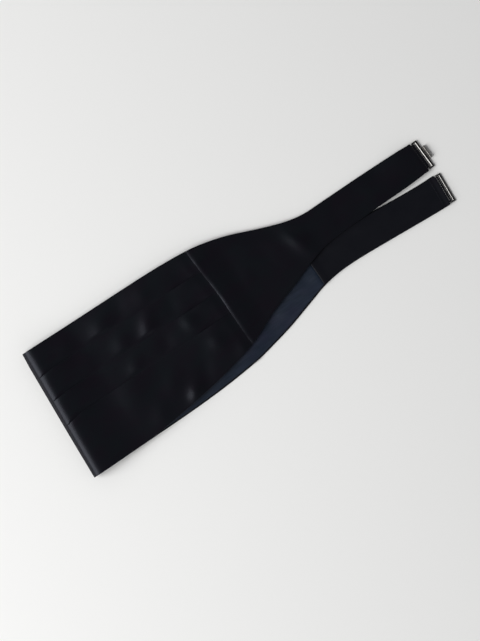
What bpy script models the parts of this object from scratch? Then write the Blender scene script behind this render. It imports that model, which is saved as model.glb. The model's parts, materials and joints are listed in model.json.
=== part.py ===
"""A satin cummerbund folded in half across its front and laid flat, with a hook and an eye on its straps.

The garment is drawn in millimetres in its own plan: x runs from the middle of the fold to the strap
ends, y to the garment's top edge and z up from the surface it lies on. The lower leaf has its outer
face down. The upper leaf lies on it with its outer face up, and both run into a narrow strap.
"""

import math
from typing import NamedTuple

import bmesh
import bpy
from mathutils import Matrix, Vector

MM = 0.001

# The plan's own fold line is not the middle of the box, which is where the part's frame stands.
FRAME_IN_PLAN = Vector((196.5, 0.5, 0.0))

# Cloth: every piece is a wall, and pieces lie this far apart.
WALL = 1.0
GAP = 0.3
STEP = WALL + GAP
EDGE_ROUND = 0.45
EDGE_THICKNESS = 0.4

# The front panel: a pleat's edge lies on the margin of the pleat before it.
PLEATS = 4
PLEAT_MARGIN = 8.0
PLEAT_REST = 9.5
PLEAT_TUCK = 3.5
PANEL_DEPTH = STEP + WALL
SEAM_X = 171.6
SEAM_LEAN = 0.026
SIDE_TAPER_END = 192.0

# Where round the fold, from 0 at its top to 1 at its foot, the pleats turn from raised to pressed flat.
FIRST_PRESS_START = 0.6
PRESS_END = 0.5

# The fold: a soft roll that stands higher than the two flat leaves.
ROLL_RADIUS = 6.0
ROLL_RAMP_END = 52.0
ROLL_LEAN = 0.046
ROLL_OFFSET = -2.76
ROLL_LEAN_END = 62.0
ROLL_STEPS = 12

# Lining and strap facings.
LINING_INSET = 1.2
FACING_INSET = 0.5
FACING_X = 256.6

# How the upper leaf falls past the edge of the lower one.
DROOP_START = 4.0
DROOP_LENGTH = 26.0

# The strap ends: each turns round the inner bar of its metal piece and back.
BAR_CLEARANCE = 1.1
LOOP_RADIUS = BAR_CLEARANCE + WALL
LOOP_HALF_WIDTH = 12.3
LOOP_STEPS = 8
SHOULDER = 1.5
TURN_BACK = 7.0
TURN_SETTLE = 2.6
TURN_SPREAD = 0.7
TURN_HALF_WIDTH = 14.0
FACING_END = 1.9
SKEW_START = 300.0
SKEW_END = 378.0

# The hook and the eye: stamped frames of one size. The hook has a lip bent back over its tongue.
FRAME_LENGTH = 28.2
FRAME_CORNER = 0.6
CORNER_STEPS = 3
SHEET = 0.9
INNER_BAR = 1.3
ARM_WIDTH = 1.5
OUTER_BAR_START = 2.6
OUTER_BAR_WIDTH = 2.6
TONGUE_WIDTH = 12.5
TONGUE_REACH = 3.5
TONGUE_CORNER = 1.2
TONGUE_CORNER_STEPS = 4
LIP_SHEET = 0.8
LIP_GAP = 0.95
LIP_MOUTH = 1.0
BEND_STEPS = 6

# Faces that meet at more than this angle keep a crisp edge.
CRISP_ANGLE = math.radians(35)


class EdgeRow(NamedTuple):
    """A leaf's two edges at one distance from the fold."""

    x: float
    top: float
    bottom: float


class PleatRow(NamedTuple):
    """Where the edges of pleats 2, 3 and 4 lie at one distance from the fold."""

    x: float
    second: float
    third: float
    fourth: float


class HeightRow(NamedTuple):
    """A height or a share at one distance from the fold."""

    x: float
    value: float


class StrapEnd(NamedTuple):
    """Where a strap turns round its metal piece, and how far the strap swings off the x axis."""

    x: float
    swing: float


class TurnSection(NamedTuple):
    """A strap's wall at one place in its turn: its outer and inner faces, and its half width."""

    out_x: float
    out_z: float
    in_x: float
    in_z: float
    reach: float


UPPER_LEAF = (
    EdgeRow(0.0, 63.2, -62.2),
    EdgeRow(60.0, 63.2, -60.2),
    EdgeRow(105.0, 63.3, -54.6),
    EdgeRow(140.0, 63.0, -48.2),
    EdgeRow(172.0, 61.2, -39.4),
    EdgeRow(190.0, 58.3, -32.2),
    EdgeRow(210.0, 52.9, -24.2),
    EdgeRow(235.0, 43.4, -16.0),
    EdgeRow(257.0, 35.9, -7.6),
    EdgeRow(275.0, 32.5, -2.2),
    EdgeRow(295.0, 32.6, 0.2),
    EdgeRow(335.0, 33.3, 1.5),
    EdgeRow(365.0, 33.4, 2.4),
    EdgeRow(392.0, 33.2, 4.0),
)

LOWER_LEAF = (
    EdgeRow(0.0, 63.2, -62.2),
    EdgeRow(60.0, 60.5, -61.1),
    EdgeRow(105.0, 57.5, -59.9),
    EdgeRow(140.0, 53.3, -57.6),
    EdgeRow(172.0, 46.8, -53.8),
    EdgeRow(190.0, 40.8, -50.0),
    EdgeRow(210.0, 31.8, -45.2),
    EdgeRow(235.0, 21.8, -37.5),
    EdgeRow(257.0, 13.2, -30.8),
    EdgeRow(275.0, 7.0, -28.0),
    EdgeRow(295.0, 4.7, -27.5),
    EdgeRow(335.0, 0.6, -29.1),
    EdgeRow(365.0, -1.3, -30.5),
    EdgeRow(392.0, -1.8, -31.4),
)

UPPER_PLEATS = (
    PleatRow(0.0, 37.4, 13.6, -10.6),
    PleatRow(25.0, 38.6, 14.8, -7.6),
    PleatRow(172.0, 38.9, 15.5, -6.0),
)

LOWER_PLEATS = (
    PleatRow(0.0, 37.4, 13.6, -10.6),
    PleatRow(172.0, 24.6, 1.2, -20.4),
)

# Height of the upper leaf's inner face where the lower leaf carries it, past the front panel.
UPPER_REST = (
    HeightRow(SIDE_TAPER_END, 2 * STEP),
    HeightRow(336.0, 2 * STEP),
    HeightRow(378.0, LOOP_RADIUS * 2 - WALL - STEP),
)

# How much of its free fall the upper leaf takes.
DROOP_SHARE = (
    HeightRow(172.0, 0.0),
    HeightRow(232.0, 1.0),
    HeightRow(345.0, 1.0),
    HeightRow(378.0, 0.0),
)

UPPER_END = StrapEnd(389.7, math.radians(3.4))
LOWER_END = StrapEnd(390.6, math.radians(-2.6))

# Columns across a leaf, closer together near the top edge, which falls past the lower leaf.
ACROSS = (0.0, 0.14, 0.28, 0.42, 0.54, 0.64, 0.73, 0.81, 0.88, 0.94, 1.0)
PANEL_STATIONS = (171.3, 150.0, 128.0, 105.0, 82.0, 62.0, 50.0, 40.0, 31.0, 23.0, 16.0, 10.5)
SIDE_STATIONS = (
    171.6, 176.0, 181.0, 186.5, 192.0, 200.0, 208.0, 217.0, 226.0, 236.0, 246.0, 256.3, 256.6,
    266.0, 275.0, 285.0, 297.0, 310.0, 323.0, 336.0, 349.0, 362.0, 370.0, 378.0,
)


def smooth_step(share):
    """0 to 1 with level ends."""
    share = min(max(share, 0.0), 1.0)
    return share * share * (3.0 - 2.0 * share)


def curve_through(rows, column, x):
    """A smooth curve through one column of a table, held level past its ends."""
    if x <= rows[0].x:
        return getattr(rows[0], column)
    if x >= rows[-1].x:
        return getattr(rows[-1], column)
    index = next(i for i in range(len(rows) - 1) if x <= rows[i + 1].x)

    def slope(i):
        if i in (0, len(rows) - 1):
            return 0.0
        rise = getattr(rows[i + 1], column) - getattr(rows[i - 1], column)
        return rise / (rows[i + 1].x - rows[i - 1].x)

    start, end = rows[index], rows[index + 1]
    span = end.x - start.x
    t = (x - start.x) / span
    return (
        (2 * t**3 - 3 * t**2 + 1) * getattr(start, column)
        + (t**3 - 2 * t**2 + t) * span * slope(index)
        + (3 * t**2 - 2 * t**3) * getattr(end, column)
        + (t**3 - t**2) * span * slope(index + 1)
    )


def ramp_through(rows, x):
    """A height table's value, eased between its rows."""
    if x <= rows[0].x:
        return rows[0].value
    for start, end in zip(rows, rows[1:]):
        if x <= end.x:
            return start.value + (end.value - start.value) * smooth_step((x - start.x) / (end.x - start.x))
    return rows[-1].value


def outer_depth(x):
    """Thickness of the outer layer: the pleated panel, then the side piece that thins to one wall."""
    share = smooth_step((x - SEAM_X) / (SIDE_TAPER_END - SEAM_X))
    return PANEL_DEPTH + (WALL - PANEL_DEPTH) * share


def upper_rest(x, y):
    """Height of the upper leaf's inner face above the surface."""
    carried = ramp_through(UPPER_REST, x) if x > SIDE_TAPER_END else outer_depth(x) + STEP + GAP
    roll = 2 * ROLL_RADIUS - 2 * (PANEL_DEPTH + STEP) - GAP
    carried += roll * (1.0 - smooth_step((x - ROLL_RADIUS) / (ROLL_RAMP_END - ROLL_RADIUS)))
    past_edge = y - curve_through(LOWER_LEAF, "top", x) - DROOP_START
    return carried * (1.0 - smooth_step(past_edge / DROOP_LENGTH) * ramp_through(DROOP_SHARE, x))


class Station(NamedTuple):
    """A line across the folded cloth: on the upper leaf, round the fold's roll or on the lower leaf."""

    part: str
    x: float
    angle: float


def roll_stations():
    """Stations round the fold, from the top of the roll to its foot."""
    return [
        Station("roll", 0.0, math.pi / 2 + math.pi * i / ROLL_STEPS) for i in range(ROLL_STEPS + 1)
    ]


def folded_stations(leaf_xs):
    """Stations from the upper leaf's far end round the roll to the lower leaf's far end."""
    upper = [Station("upper", x, 0.0) for x in leaf_xs]
    lower = [Station("lower", x, 0.0) for x in reversed(leaf_xs)]
    return upper + roll_stations() + lower


def leaf_of(station):
    """The table of edges that a station reads."""
    return LOWER_LEAF if station.part == "lower" else UPPER_LEAF


def edges_at(station, inset=0.0):
    """The garment's bottom and top edge at a station."""
    rows = leaf_of(station)
    return curve_through(rows, "bottom", station.x) + inset, curve_through(rows, "top", station.x) - inset


def place(station, y, depth):
    """A point of the folded cloth: across at y, depth below the outermost face."""
    lean = ROLL_OFFSET + ROLL_LEAN * y
    if station.part == "roll":
        reach = ROLL_RADIUS - depth
        x = ROLL_RADIUS + reach * math.cos(station.angle) + lean
        return Vector((x, y, ROLL_RADIUS + reach * math.sin(station.angle)))
    x = station.x + lean * (1.0 - smooth_step((station.x - ROLL_RADIUS) / (ROLL_LEAN_END - ROLL_RADIUS)))
    x += SEAM_LEAN * -y * smooth_step((station.x - SEAM_X / 2) / (SEAM_X / 2))
    if station.part == "lower":
        return Vector((x, y, depth))
    outermost = upper_rest(station.x, y) + STEP + outer_depth(station.x)
    return Vector((x, y, outermost - depth))


def rounded_columns(columns):
    """Adds a thin column just outside each end of a row of (y, depth) columns, for a rounded edge."""
    first, last = columns[0], columns[-1]
    out = -1.0 if first[0] < last[0] else 1.0
    return (
        [(first[0] + out * EDGE_ROUND, first[1], EDGE_THICKNESS)]
        + [(y, depth, 1.0) for y, depth in columns]
        + [(last[0] - out * EDGE_ROUND, last[1], EDGE_THICKNESS)]
    )


def wall_rows(station, columns, thickness=WALL):
    """Outer and inner points of a wall along one station's columns."""
    outer, inner = [], []
    for y, depth, share in rounded_columns(columns):
        shrink = thickness * (1.0 - share) / 2
        outer.append(place(station, y, depth + shrink))
        inner.append(place(station, y, depth + thickness - shrink))
    return outer, inner


def wall_object(name, outer, inner, material):
    """A closed wall between two grids of points, as an object in the part's frame."""
    mesh = bmesh.new()
    grids = [
        [[mesh.verts.new((point - FRAME_IN_PLAN) * MM) for point in row] for row in grid]
        for grid in (outer, inner)
    ]
    rows, columns = len(outer), len(outer[0])
    for grid in grids:
        for i in range(rows - 1):
            for j in range(columns - 1):
                mesh.faces.new((grid[i][j], grid[i + 1][j], grid[i + 1][j + 1], grid[i][j + 1]))
    top, base = grids
    for i in (0, rows - 1):
        for j in range(columns - 1):
            mesh.faces.new((top[i][j], top[i][j + 1], base[i][j + 1], base[i][j]))
    for j in (0, columns - 1):
        for i in range(rows - 1):
            mesh.faces.new((top[i][j], top[i + 1][j], base[i + 1][j], base[i][j]))
    bmesh.ops.recalc_face_normals(mesh, faces=mesh.faces)
    return finished_object(name, mesh, material)


def finished_object(name, mesh, material):
    """Turns a bmesh into a smooth-shaded object with its own material."""
    data = bpy.data.meshes.new(name)
    mesh.to_mesh(data)
    mesh.free()
    data.shade_smooth()
    data.set_sharp_from_angle(angle=CRISP_ANGLE)
    data.materials.append(material)
    piece = bpy.data.objects.new(name, data)
    bpy.context.scene.collection.objects.link(piece)
    return piece


def material(name, colour, roughness, metallic=0.0):
    """A Principled material of one plain colour."""
    made = bpy.data.materials.new(name)
    made.use_nodes = True
    shader = made.node_tree.nodes["Principled BSDF"]
    shader.inputs["Base Color"].default_value = (*colour, 1.0)
    shader.inputs["Roughness"].default_value = roughness
    shader.inputs["Metallic"].default_value = metallic
    return made


def press_share(station, first):
    """How far a pleat is pressed flat: 0 as it lies on the upper leaf, 1 as the lower leaf presses it."""
    if station.part == "upper":
        return 0.0
    if station.part == "lower":
        return 1.0
    turn = (station.angle - math.pi / 2) / math.pi
    if first:
        return smooth_step((turn - FIRST_PRESS_START) / (1.0 - FIRST_PRESS_START))
    return smooth_step(turn / PRESS_END)


def pleat_edge(station, number):
    """The y of a pleat's upper edge: the leaf's own edge for the first, its row's value for the rest."""
    if number == 1:
        return edges_at(station)[1] - EDGE_ROUND
    rows = LOWER_PLEATS if station.part == "lower" else UPPER_PLEATS
    return curve_through(rows, ("second", "third", "fourth")[number - 2], station.x)


def pleat_columns(station, number):
    """(y, depth) columns of one pleat, from its folded edge to its hidden margin."""
    start = pleat_edge(station, number)
    last = number == PLEATS
    end = edges_at(station)[0] + EDGE_ROUND if last else pleat_edge(station, number + 1)
    width = start - end
    press = press_share(station, number == 1)
    sunk = STEP * (1.0 - press)
    edge_depth = sunk if number == 1 else 0.0
    tuck = width - PLEAT_TUCK
    sloped = (tuck - PLEAT_REST) / (width - PLEAT_REST) * sunk
    rows = [
        (0.0, edge_depth),
        (PLEAT_REST, edge_depth),
        (tuck, max(edge_depth, sloped)),
        (width, sunk if last else STEP),
    ]
    if not last:
        rows.append((width + PLEAT_MARGIN, STEP))
    return [(start - across, depth) for across, depth in rows]


def build_front_pleats(cloth):
    """The pleated front: four bands, each whole from one side seam round the fold to the other."""
    for number in range(1, PLEATS + 1):
        outer, inner = [], []
        for station in folded_stations(PANEL_STATIONS):
            top_row, under_row = wall_rows(station, pleat_columns(station, number))
            outer.append(top_row)
            inner.append(under_row)
        wall_object(f"front_pleat_{number}", outer, inner, cloth)


def even_columns(station, depth, inset=EDGE_ROUND):
    """(y, depth) columns over a leaf's whole width."""
    bottom, top = edges_at(station, inset)
    return [(bottom + (top - bottom) * share, depth) for share in ACROSS]


def build_lining(cloth):
    """The lining of both leaves, whole from one strap facing round the fold to the other."""
    side = [x for x in SIDE_STATIONS if x < FACING_X]
    outer, inner = [], []
    for station in folded_stations(side[::-1] + list(PANEL_STATIONS[1:])):
        under_outer = outer_depth(station.x) + GAP
        top_row, under_row = wall_rows(station, even_columns(station, under_outer, LINING_INSET))
        outer.append(top_row)
        inner.append(under_row)
    wall_object("lining", outer, inner, cloth)


def end_point(end, leaf, along, across, height):
    """A point in a strap end's own frame: along the strap from its bar, across it, and up."""
    middle = (curve_through(leaf, "top", end.x) + curve_through(leaf, "bottom", end.x)) / 2
    turned = Matrix.Rotation(end.swing, 3, "Z") @ Vector((along, across, 0.0))
    return turned + Vector((end.x, middle, height))


def skewed(point, end, leaf):
    """Turns the lines across a strap square to its own direction as they near its end."""
    middle = (curve_through(leaf, "top", point.x) + curve_through(leaf, "bottom", point.x)) / 2
    share = smooth_step((point.x - SKEW_START) / (SKEW_END - SKEW_START))
    return point + Vector((math.tan(end.swing) * (middle - point.y) * share, 0.0, 0.0))


def strap_end_rows(end, leaf, flip):
    """Outer and inner rows where the cloth turns round the bar and back, as one wall.

    The rows are drawn for a strap whose outer face is down, and flipped for the other.
    """
    half = (curve_through(leaf, "top", end.x) - curve_through(leaf, "bottom", end.x)) / 2
    sections = [
        TurnSection(-SHOULDER, 0.0, -SHOULDER, WALL, half),
        TurnSection(-SHOULDER + GAP, 0.0, -SHOULDER + GAP, WALL, LOOP_HALF_WIDTH),
    ]
    for i in range(LOOP_STEPS + 1):
        turn = math.pi * (i / LOOP_STEPS - 0.5)
        sections.append(TurnSection(
            LOOP_RADIUS * math.cos(turn),
            LOOP_RADIUS * (1 + math.sin(turn)),
            BAR_CLEARANCE * math.cos(turn),
            LOOP_RADIUS + BAR_CLEARANCE * math.sin(turn),
            LOOP_HALF_WIDTH,
        ))
    settled = 2 * STEP
    for back, reach in (
        (TURN_SETTLE, LOOP_HALF_WIDTH),
        (TURN_SETTLE + TURN_SPREAD, TURN_HALF_WIDTH),
        (TURN_BACK, TURN_HALF_WIDTH),
    ):
        sections.append(TurnSection(-back, settled + WALL, -back, settled, reach))
    if flip:
        top = 2 * LOOP_RADIUS
        sections = [cut._replace(out_z=top - cut.out_z, in_z=top - cut.in_z) for cut in sections]
    outer = [turn_row(end, leaf, cut, 0.0) for cut in sections]
    inner = [turn_row(end, leaf, cut, 1.0) for cut in sections]
    return outer, inner


def turn_row(end, leaf, cut, depth):
    """A row of points across a strap's turn, at depth 0 for its outer face and 1 for its inner face."""
    reach = cut.reach - EDGE_ROUND
    thin = abs(depth - (1.0 - EDGE_THICKNESS) / 2)
    columns = [(reach * (2 * share - 1.0), depth) for share in ACROSS]
    columns = [(-cut.reach, thin)] + columns + [(cut.reach, thin)]
    return [
        end_point(
            end, leaf,
            cut.out_x + (cut.in_x - cut.out_x) * share,
            across,
            cut.out_z + (cut.in_z - cut.out_z) * share,
        )
        for across, share in columns
    ]


def leaf_rows(part, xs, end, leaf, depth_at, thickness_at, inset):
    """Outer and inner rows of a piece that lies along one leaf."""
    outer, inner = [], []
    for x in xs:
        station = Station(part, x, 0.0)
        columns = even_columns(station, depth_at(x), inset)
        top_row, under_row = wall_rows(station, columns, thickness_at(x))
        outer.append([skewed(point, end, leaf) for point in top_row])
        inner.append([skewed(point, end, leaf) for point in under_row])
    return outer, inner


def build_side(name, part, end, leaf, cloth):
    """A side piece: from the front's seam to the strap end, round the metal piece's bar and back."""
    outer, inner = leaf_rows(
        part, SIDE_STATIONS, end, leaf, lambda x: 0.0, outer_depth, EDGE_ROUND
    )
    end_outer, end_inner = strap_end_rows(end, leaf, flip=part == "upper")
    wall_object(name, outer + end_outer, inner + end_inner, cloth)


def build_facing(name, part, end, leaf, cloth):
    """A strap facing: from the lining's end to the strap's turn, on the inner face."""
    xs = [x for x in SIDE_STATIONS if x >= FACING_X] + [end.x - FACING_END]
    outer, inner = leaf_rows(
        part, xs, end, leaf, lambda x: STEP, lambda x: WALL, FACING_INSET + EDGE_ROUND
    )
    wall_object(name, outer, inner, cloth)


def extruded(name, profile, half_width, metal):
    """A closed profile of (x, z) points, extruded across y."""
    mesh = bmesh.new()
    corners = [mesh.verts.new((x * MM, -half_width * MM, z * MM)) for x, z in profile]
    face = mesh.faces.new(corners)
    grown = bmesh.ops.extrude_face_region(mesh, geom=[face])
    moved = [item for item in grown["geom"] if isinstance(item, bmesh.types.BMVert)]
    bmesh.ops.translate(mesh, verts=moved, vec=(0.0, 2 * half_width * MM, 0.0))
    bmesh.ops.recalc_face_normals(mesh, faces=mesh.faces)
    return finished_object(name, mesh, metal)


def as_tool(piece, target, operation):
    """Joins a helper to a metal piece, or keeps only what both share, and hides the helper."""
    piece.hide_render = True
    piece.display_type = "WIRE"
    piece.parent = target
    modifier = target.modifiers.new(piece.name, "BOOLEAN")
    modifier.operation = operation
    modifier.solver = "EXACT"
    modifier.object = piece


def frame_outline():
    """The frame's plan: an oblong with small round corners."""
    far = OUTER_BAR_START + OUTER_BAR_WIDTH - FRAME_CORNER
    near = FRAME_CORNER - INNER_BAR / 2
    side = FRAME_LENGTH / 2 - FRAME_CORNER
    points = []
    for x, y, quarter in ((far, side, 0), (near, side, 1), (near, -side, 2), (far, -side, 3)):
        for step in range(CORNER_STEPS + 1):
            angle = math.pi / 2 * (quarter + step / CORNER_STEPS)
            points.append((x + FRAME_CORNER * math.cos(angle), y + FRAME_CORNER * math.sin(angle)))
    return points


def plan_block(name, points, low, high, metal):
    """A plan outline extruded from one height to another."""
    mesh = bmesh.new()
    face = mesh.faces.new([mesh.verts.new((x * MM, y * MM, low * MM)) for x, y in points])
    grown = bmesh.ops.extrude_face_region(mesh, geom=[face])
    moved = [item for item in grown["geom"] if isinstance(item, bmesh.types.BMVert)]
    bmesh.ops.translate(mesh, verts=moved, vec=(0.0, 0.0, (high - low) * MM))
    bmesh.ops.recalc_face_normals(mesh, faces=mesh.faces)
    return finished_object(name, mesh, metal)


def build_frame(name, metal):
    """A stamped frame: an outer bar, two arms and the inner bar that the strap turns round."""
    frame = plan_block(name, frame_outline(), -SHEET / 2, SHEET / 2, metal)
    half_slot = FRAME_LENGTH / 2 - ARM_WIDTH
    slot = [
        (INNER_BAR / 2, -half_slot), (OUTER_BAR_START, -half_slot),
        (OUTER_BAR_START, half_slot), (INNER_BAR / 2, half_slot),
    ]
    as_tool(plan_block(f"{name}_slot", slot, -SHEET, SHEET, metal), frame, "DIFFERENCE")
    return frame


def lip_profile():
    """The hook's tongue and lip in section: out from the bar, up round the bend and back."""
    start = OUTER_BAR_START + OUTER_BAR_WIDTH / 2
    bar_edge = OUTER_BAR_START + OUTER_BAR_WIDTH
    low = -SHEET / 2
    inner = LIP_MOUTH / 2
    outer = inner + LIP_SHEET
    middle_x = bar_edge + TONGUE_REACH - outer
    middle_z = low + outer
    turns = [math.pi * (i / BEND_STEPS - 0.5) for i in range(BEND_STEPS + 1)]
    outside = [(middle_x + outer * math.cos(a), middle_z + outer * math.sin(a)) for a in turns]
    inside = [(middle_x + inner * math.cos(a), middle_z + inner * math.sin(a)) for a in turns]
    free = bar_edge + LIP_GAP
    return (
        [(start, low)] + outside + [(free, middle_z + outer), (free, middle_z + inner)]
        + inside[::-1] + [(start, low + LIP_SHEET)]
    )


def tongue_outline():
    """The tongue's plan, with its two outer corners rounded."""
    end = OUTER_BAR_START + OUTER_BAR_WIDTH + TONGUE_REACH + GAP
    half = TONGUE_WIDTH / 2
    points = [(OUTER_BAR_START + OUTER_BAR_WIDTH / 2 - GAP, -half)]
    for sign in (-1.0, 1.0):
        arc = []
        for step in range(TONGUE_CORNER_STEPS + 1):
            angle = math.pi / 2 * step / TONGUE_CORNER_STEPS
            arc.append((
                end - GAP - TONGUE_CORNER + TONGUE_CORNER * math.sin(angle),
                sign * (half - TONGUE_CORNER + TONGUE_CORNER * math.cos(angle)),
            ))
        points += arc if sign < 0 else arc[::-1]
    return points + [(points[0][0], half)]


def add_tongue(hook, metal):
    """Adds the tongue and its lip to the hook's frame."""
    tongue = extruded("hook_tongue", lip_profile(), TONGUE_WIDTH / 2 + GAP, metal)
    outline = plan_block("hook_tongue_plan", tongue_outline(), -2 * SHEET, 4 * SHEET, metal)
    as_tool(outline, tongue, "INTERSECT")
    as_tool(tongue, hook, "UNION")


def seat_frame(frame, end, leaf, reach):
    """Sets a frame's inner bar in its strap's turn and tips it until its far edge meets the surface."""
    tip = math.asin((LOOP_RADIUS - SHEET / 2) / reach)
    spot = (end_point(end, leaf, 0.0, 0.0, LOOP_RADIUS) - FRAME_IN_PLAN) * MM
    turn = Matrix.Rotation(end.swing, 4, "Z") @ Matrix.Rotation(tip, 4, "Y")
    frame.matrix_world = Matrix.Translation(spot) @ turn


def build_metal(metal):
    """The hook on the upper strap and the eye on the lower one."""
    bar_reach = OUTER_BAR_START + OUTER_BAR_WIDTH
    eye = build_frame("eye", metal)
    seat_frame(eye, LOWER_END, LOWER_LEAF, bar_reach)
    hook = build_frame("hook", metal)
    add_tongue(hook, metal)
    seat_frame(hook, UPPER_END, UPPER_LEAF, bar_reach + TONGUE_REACH - LIP_SHEET)


def main():
    for old in list(bpy.data.objects):
        bpy.data.objects.remove(old, do_unlink=True)
    satin = material("black_satin", (0.008, 0.009, 0.012), 0.38)
    navy = material("navy_lining", (0.017, 0.021, 0.034), 0.55)
    ribbed = material("black_facing", (0.008, 0.009, 0.011), 0.5)
    steel = material("black_plated_steel", (0.14, 0.139, 0.137), 0.15, 1.0)
    build_front_pleats(satin)
    build_side("side_upper", "upper", UPPER_END, UPPER_LEAF, satin)
    build_side("side_lower", "lower", LOWER_END, LOWER_LEAF, satin)
    build_lining(navy)
    build_facing("facing_upper", "upper", UPPER_END, UPPER_LEAF, ribbed)
    build_facing("facing_lower", "lower", LOWER_END, LOWER_LEAF, ribbed)
    build_metal(steel)


if __name__ == "__main__":
    main()
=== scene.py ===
"""Looks of a satin cummerbund folded in half and laid flat, with a hook and an eye on its straps.

Lengths are in millimetres in the garment's own plan: x runs from the middle of the fold to the strap
ends, y to the top edge and z up from the surface it lies on. Meshes are in metres in the part's frame.
"""

import json
import logging
import math
from dataclasses import dataclass, field
from enum import Enum
from typing import Callable, Mapping, Sequence

import bmesh
import bpy
import numpy as np
from mathutils import Matrix, Vector


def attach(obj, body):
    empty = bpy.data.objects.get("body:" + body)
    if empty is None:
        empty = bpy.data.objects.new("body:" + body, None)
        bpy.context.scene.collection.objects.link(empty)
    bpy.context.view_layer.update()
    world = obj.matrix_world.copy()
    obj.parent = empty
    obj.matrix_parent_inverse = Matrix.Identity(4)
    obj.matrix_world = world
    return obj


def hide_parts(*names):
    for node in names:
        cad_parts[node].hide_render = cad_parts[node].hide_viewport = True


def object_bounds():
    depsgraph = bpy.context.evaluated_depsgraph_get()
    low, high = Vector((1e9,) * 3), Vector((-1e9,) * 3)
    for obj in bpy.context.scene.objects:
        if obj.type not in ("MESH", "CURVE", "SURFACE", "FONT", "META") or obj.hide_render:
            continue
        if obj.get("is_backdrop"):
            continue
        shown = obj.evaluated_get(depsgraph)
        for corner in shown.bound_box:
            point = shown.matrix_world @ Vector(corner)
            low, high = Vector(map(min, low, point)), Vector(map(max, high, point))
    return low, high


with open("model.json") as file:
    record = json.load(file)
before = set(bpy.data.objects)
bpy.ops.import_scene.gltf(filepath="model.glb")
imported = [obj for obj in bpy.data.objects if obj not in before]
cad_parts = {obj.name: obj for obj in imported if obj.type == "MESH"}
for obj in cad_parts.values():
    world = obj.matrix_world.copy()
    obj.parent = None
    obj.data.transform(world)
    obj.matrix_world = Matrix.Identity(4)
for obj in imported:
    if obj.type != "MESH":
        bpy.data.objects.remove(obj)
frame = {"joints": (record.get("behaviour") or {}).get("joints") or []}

LOG = logging.getLogger("cummerbund")
MM = 0.001
WEAR_AND_HIGHLIGHT = "wear_and_highlight"
CLOTH_COORDINATES = "cloth"
BACK_SHIFT = (0.0, 0.0, 0.5)
SMOOTH_UP_TO = 55.0

Array = np.ndarray
Colour = tuple[float, float, float]
Span = tuple[float, float]


# Curves.


def eased(share: Array | float) -> Array:
    """0 to 1 with level ends."""
    held = np.clip(share, 0.0, 1.0)
    return held * held * (3.0 - 2.0 * held)


def ramp(value: Array | float, start: float, end: float) -> Array:
    """0 up to the start and 1 past the end, eased between them."""
    return eased((value - start) / (end - start))


@dataclass(frozen=True)
class Curve:
    """A value given at rising distances along the garment, held level past its ends."""

    xs: tuple[float, ...]
    values: tuple[float, ...]

    def _spot(self, x: Array | float) -> tuple[Array, Array]:
        """Which span each x is in, and how far along it.

        Args:
            x: Distances along the garment.

        Returns:
            The index of each span's first row, and the share of the span, 0 to 1.
        """
        xs = np.array(self.xs)
        held = np.clip(x, xs[0], xs[-1])
        index = np.clip(np.searchsorted(xs, held) - 1, 0, len(xs) - 2)
        return index, (held - xs[index]) / (xs[index + 1] - xs[index])

    def at(self, x: Array | float) -> Array:
        """The smooth curve through the rows.

        Args:
            x: Distances along the garment.

        Returns:
            The curve's value at each x.
        """
        index, t = self._spot(x)
        xs, values = np.array(self.xs), np.array(self.values)
        slopes = np.zeros_like(values)
        slopes[1:-1] = (values[2:] - values[:-2]) / (xs[2:] - xs[:-2])
        span = xs[index + 1] - xs[index]
        return (
            (2 * t**3 - 3 * t**2 + 1) * values[index]
            + (t**3 - 2 * t**2 + t) * span * slopes[index]
            + (3 * t**2 - 2 * t**3) * values[index + 1]
            + (t**3 - t**2) * span * slopes[index + 1]
        )

    def stepped(self, x: Array | float) -> Array:
        """The value eased from row to row, level at each.

        Args:
            x: Distances along the garment.

        Returns:
            The value at each x.
        """
        index, t = self._spot(x)
        values = np.array(self.values)
        return values[index] + (values[index + 1] - values[index]) * eased(t)


# Shader maths.


class Wire:
    """A node's output socket. Arithmetic on it adds Math nodes."""

    def __init__(self, graph: "Graph", socket: bpy.types.NodeSocket) -> None:
        """Wraps a socket of a graph's node."""
        self.graph = graph
        self.socket = socket

    def _with(self, operation: str, first: "Value", second: "Value") -> "Wire":
        """A Math node's result from two values."""
        return self.graph.add("ShaderNodeMath", {"operation": operation}, {0: first, 1: second})

    def __add__(self, other: "Value") -> "Wire":
        """This plus another."""
        return self._with("ADD", self, other)

    def __radd__(self, other: "Value") -> "Wire":
        """Another plus this."""
        return self._with("ADD", other, self)

    def __sub__(self, other: "Value") -> "Wire":
        """This less another."""
        return self._with("SUBTRACT", self, other)

    def __rsub__(self, other: "Value") -> "Wire":
        """Another less this."""
        return self._with("SUBTRACT", other, self)

    def __mul__(self, other: "Value") -> "Wire":
        """This times another."""
        return self._with("MULTIPLY", self, other)

    def __rmul__(self, other: "Value") -> "Wire":
        """Another times this."""
        return self._with("MULTIPLY", other, self)


Value = Wire | float | Sequence[float]


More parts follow.
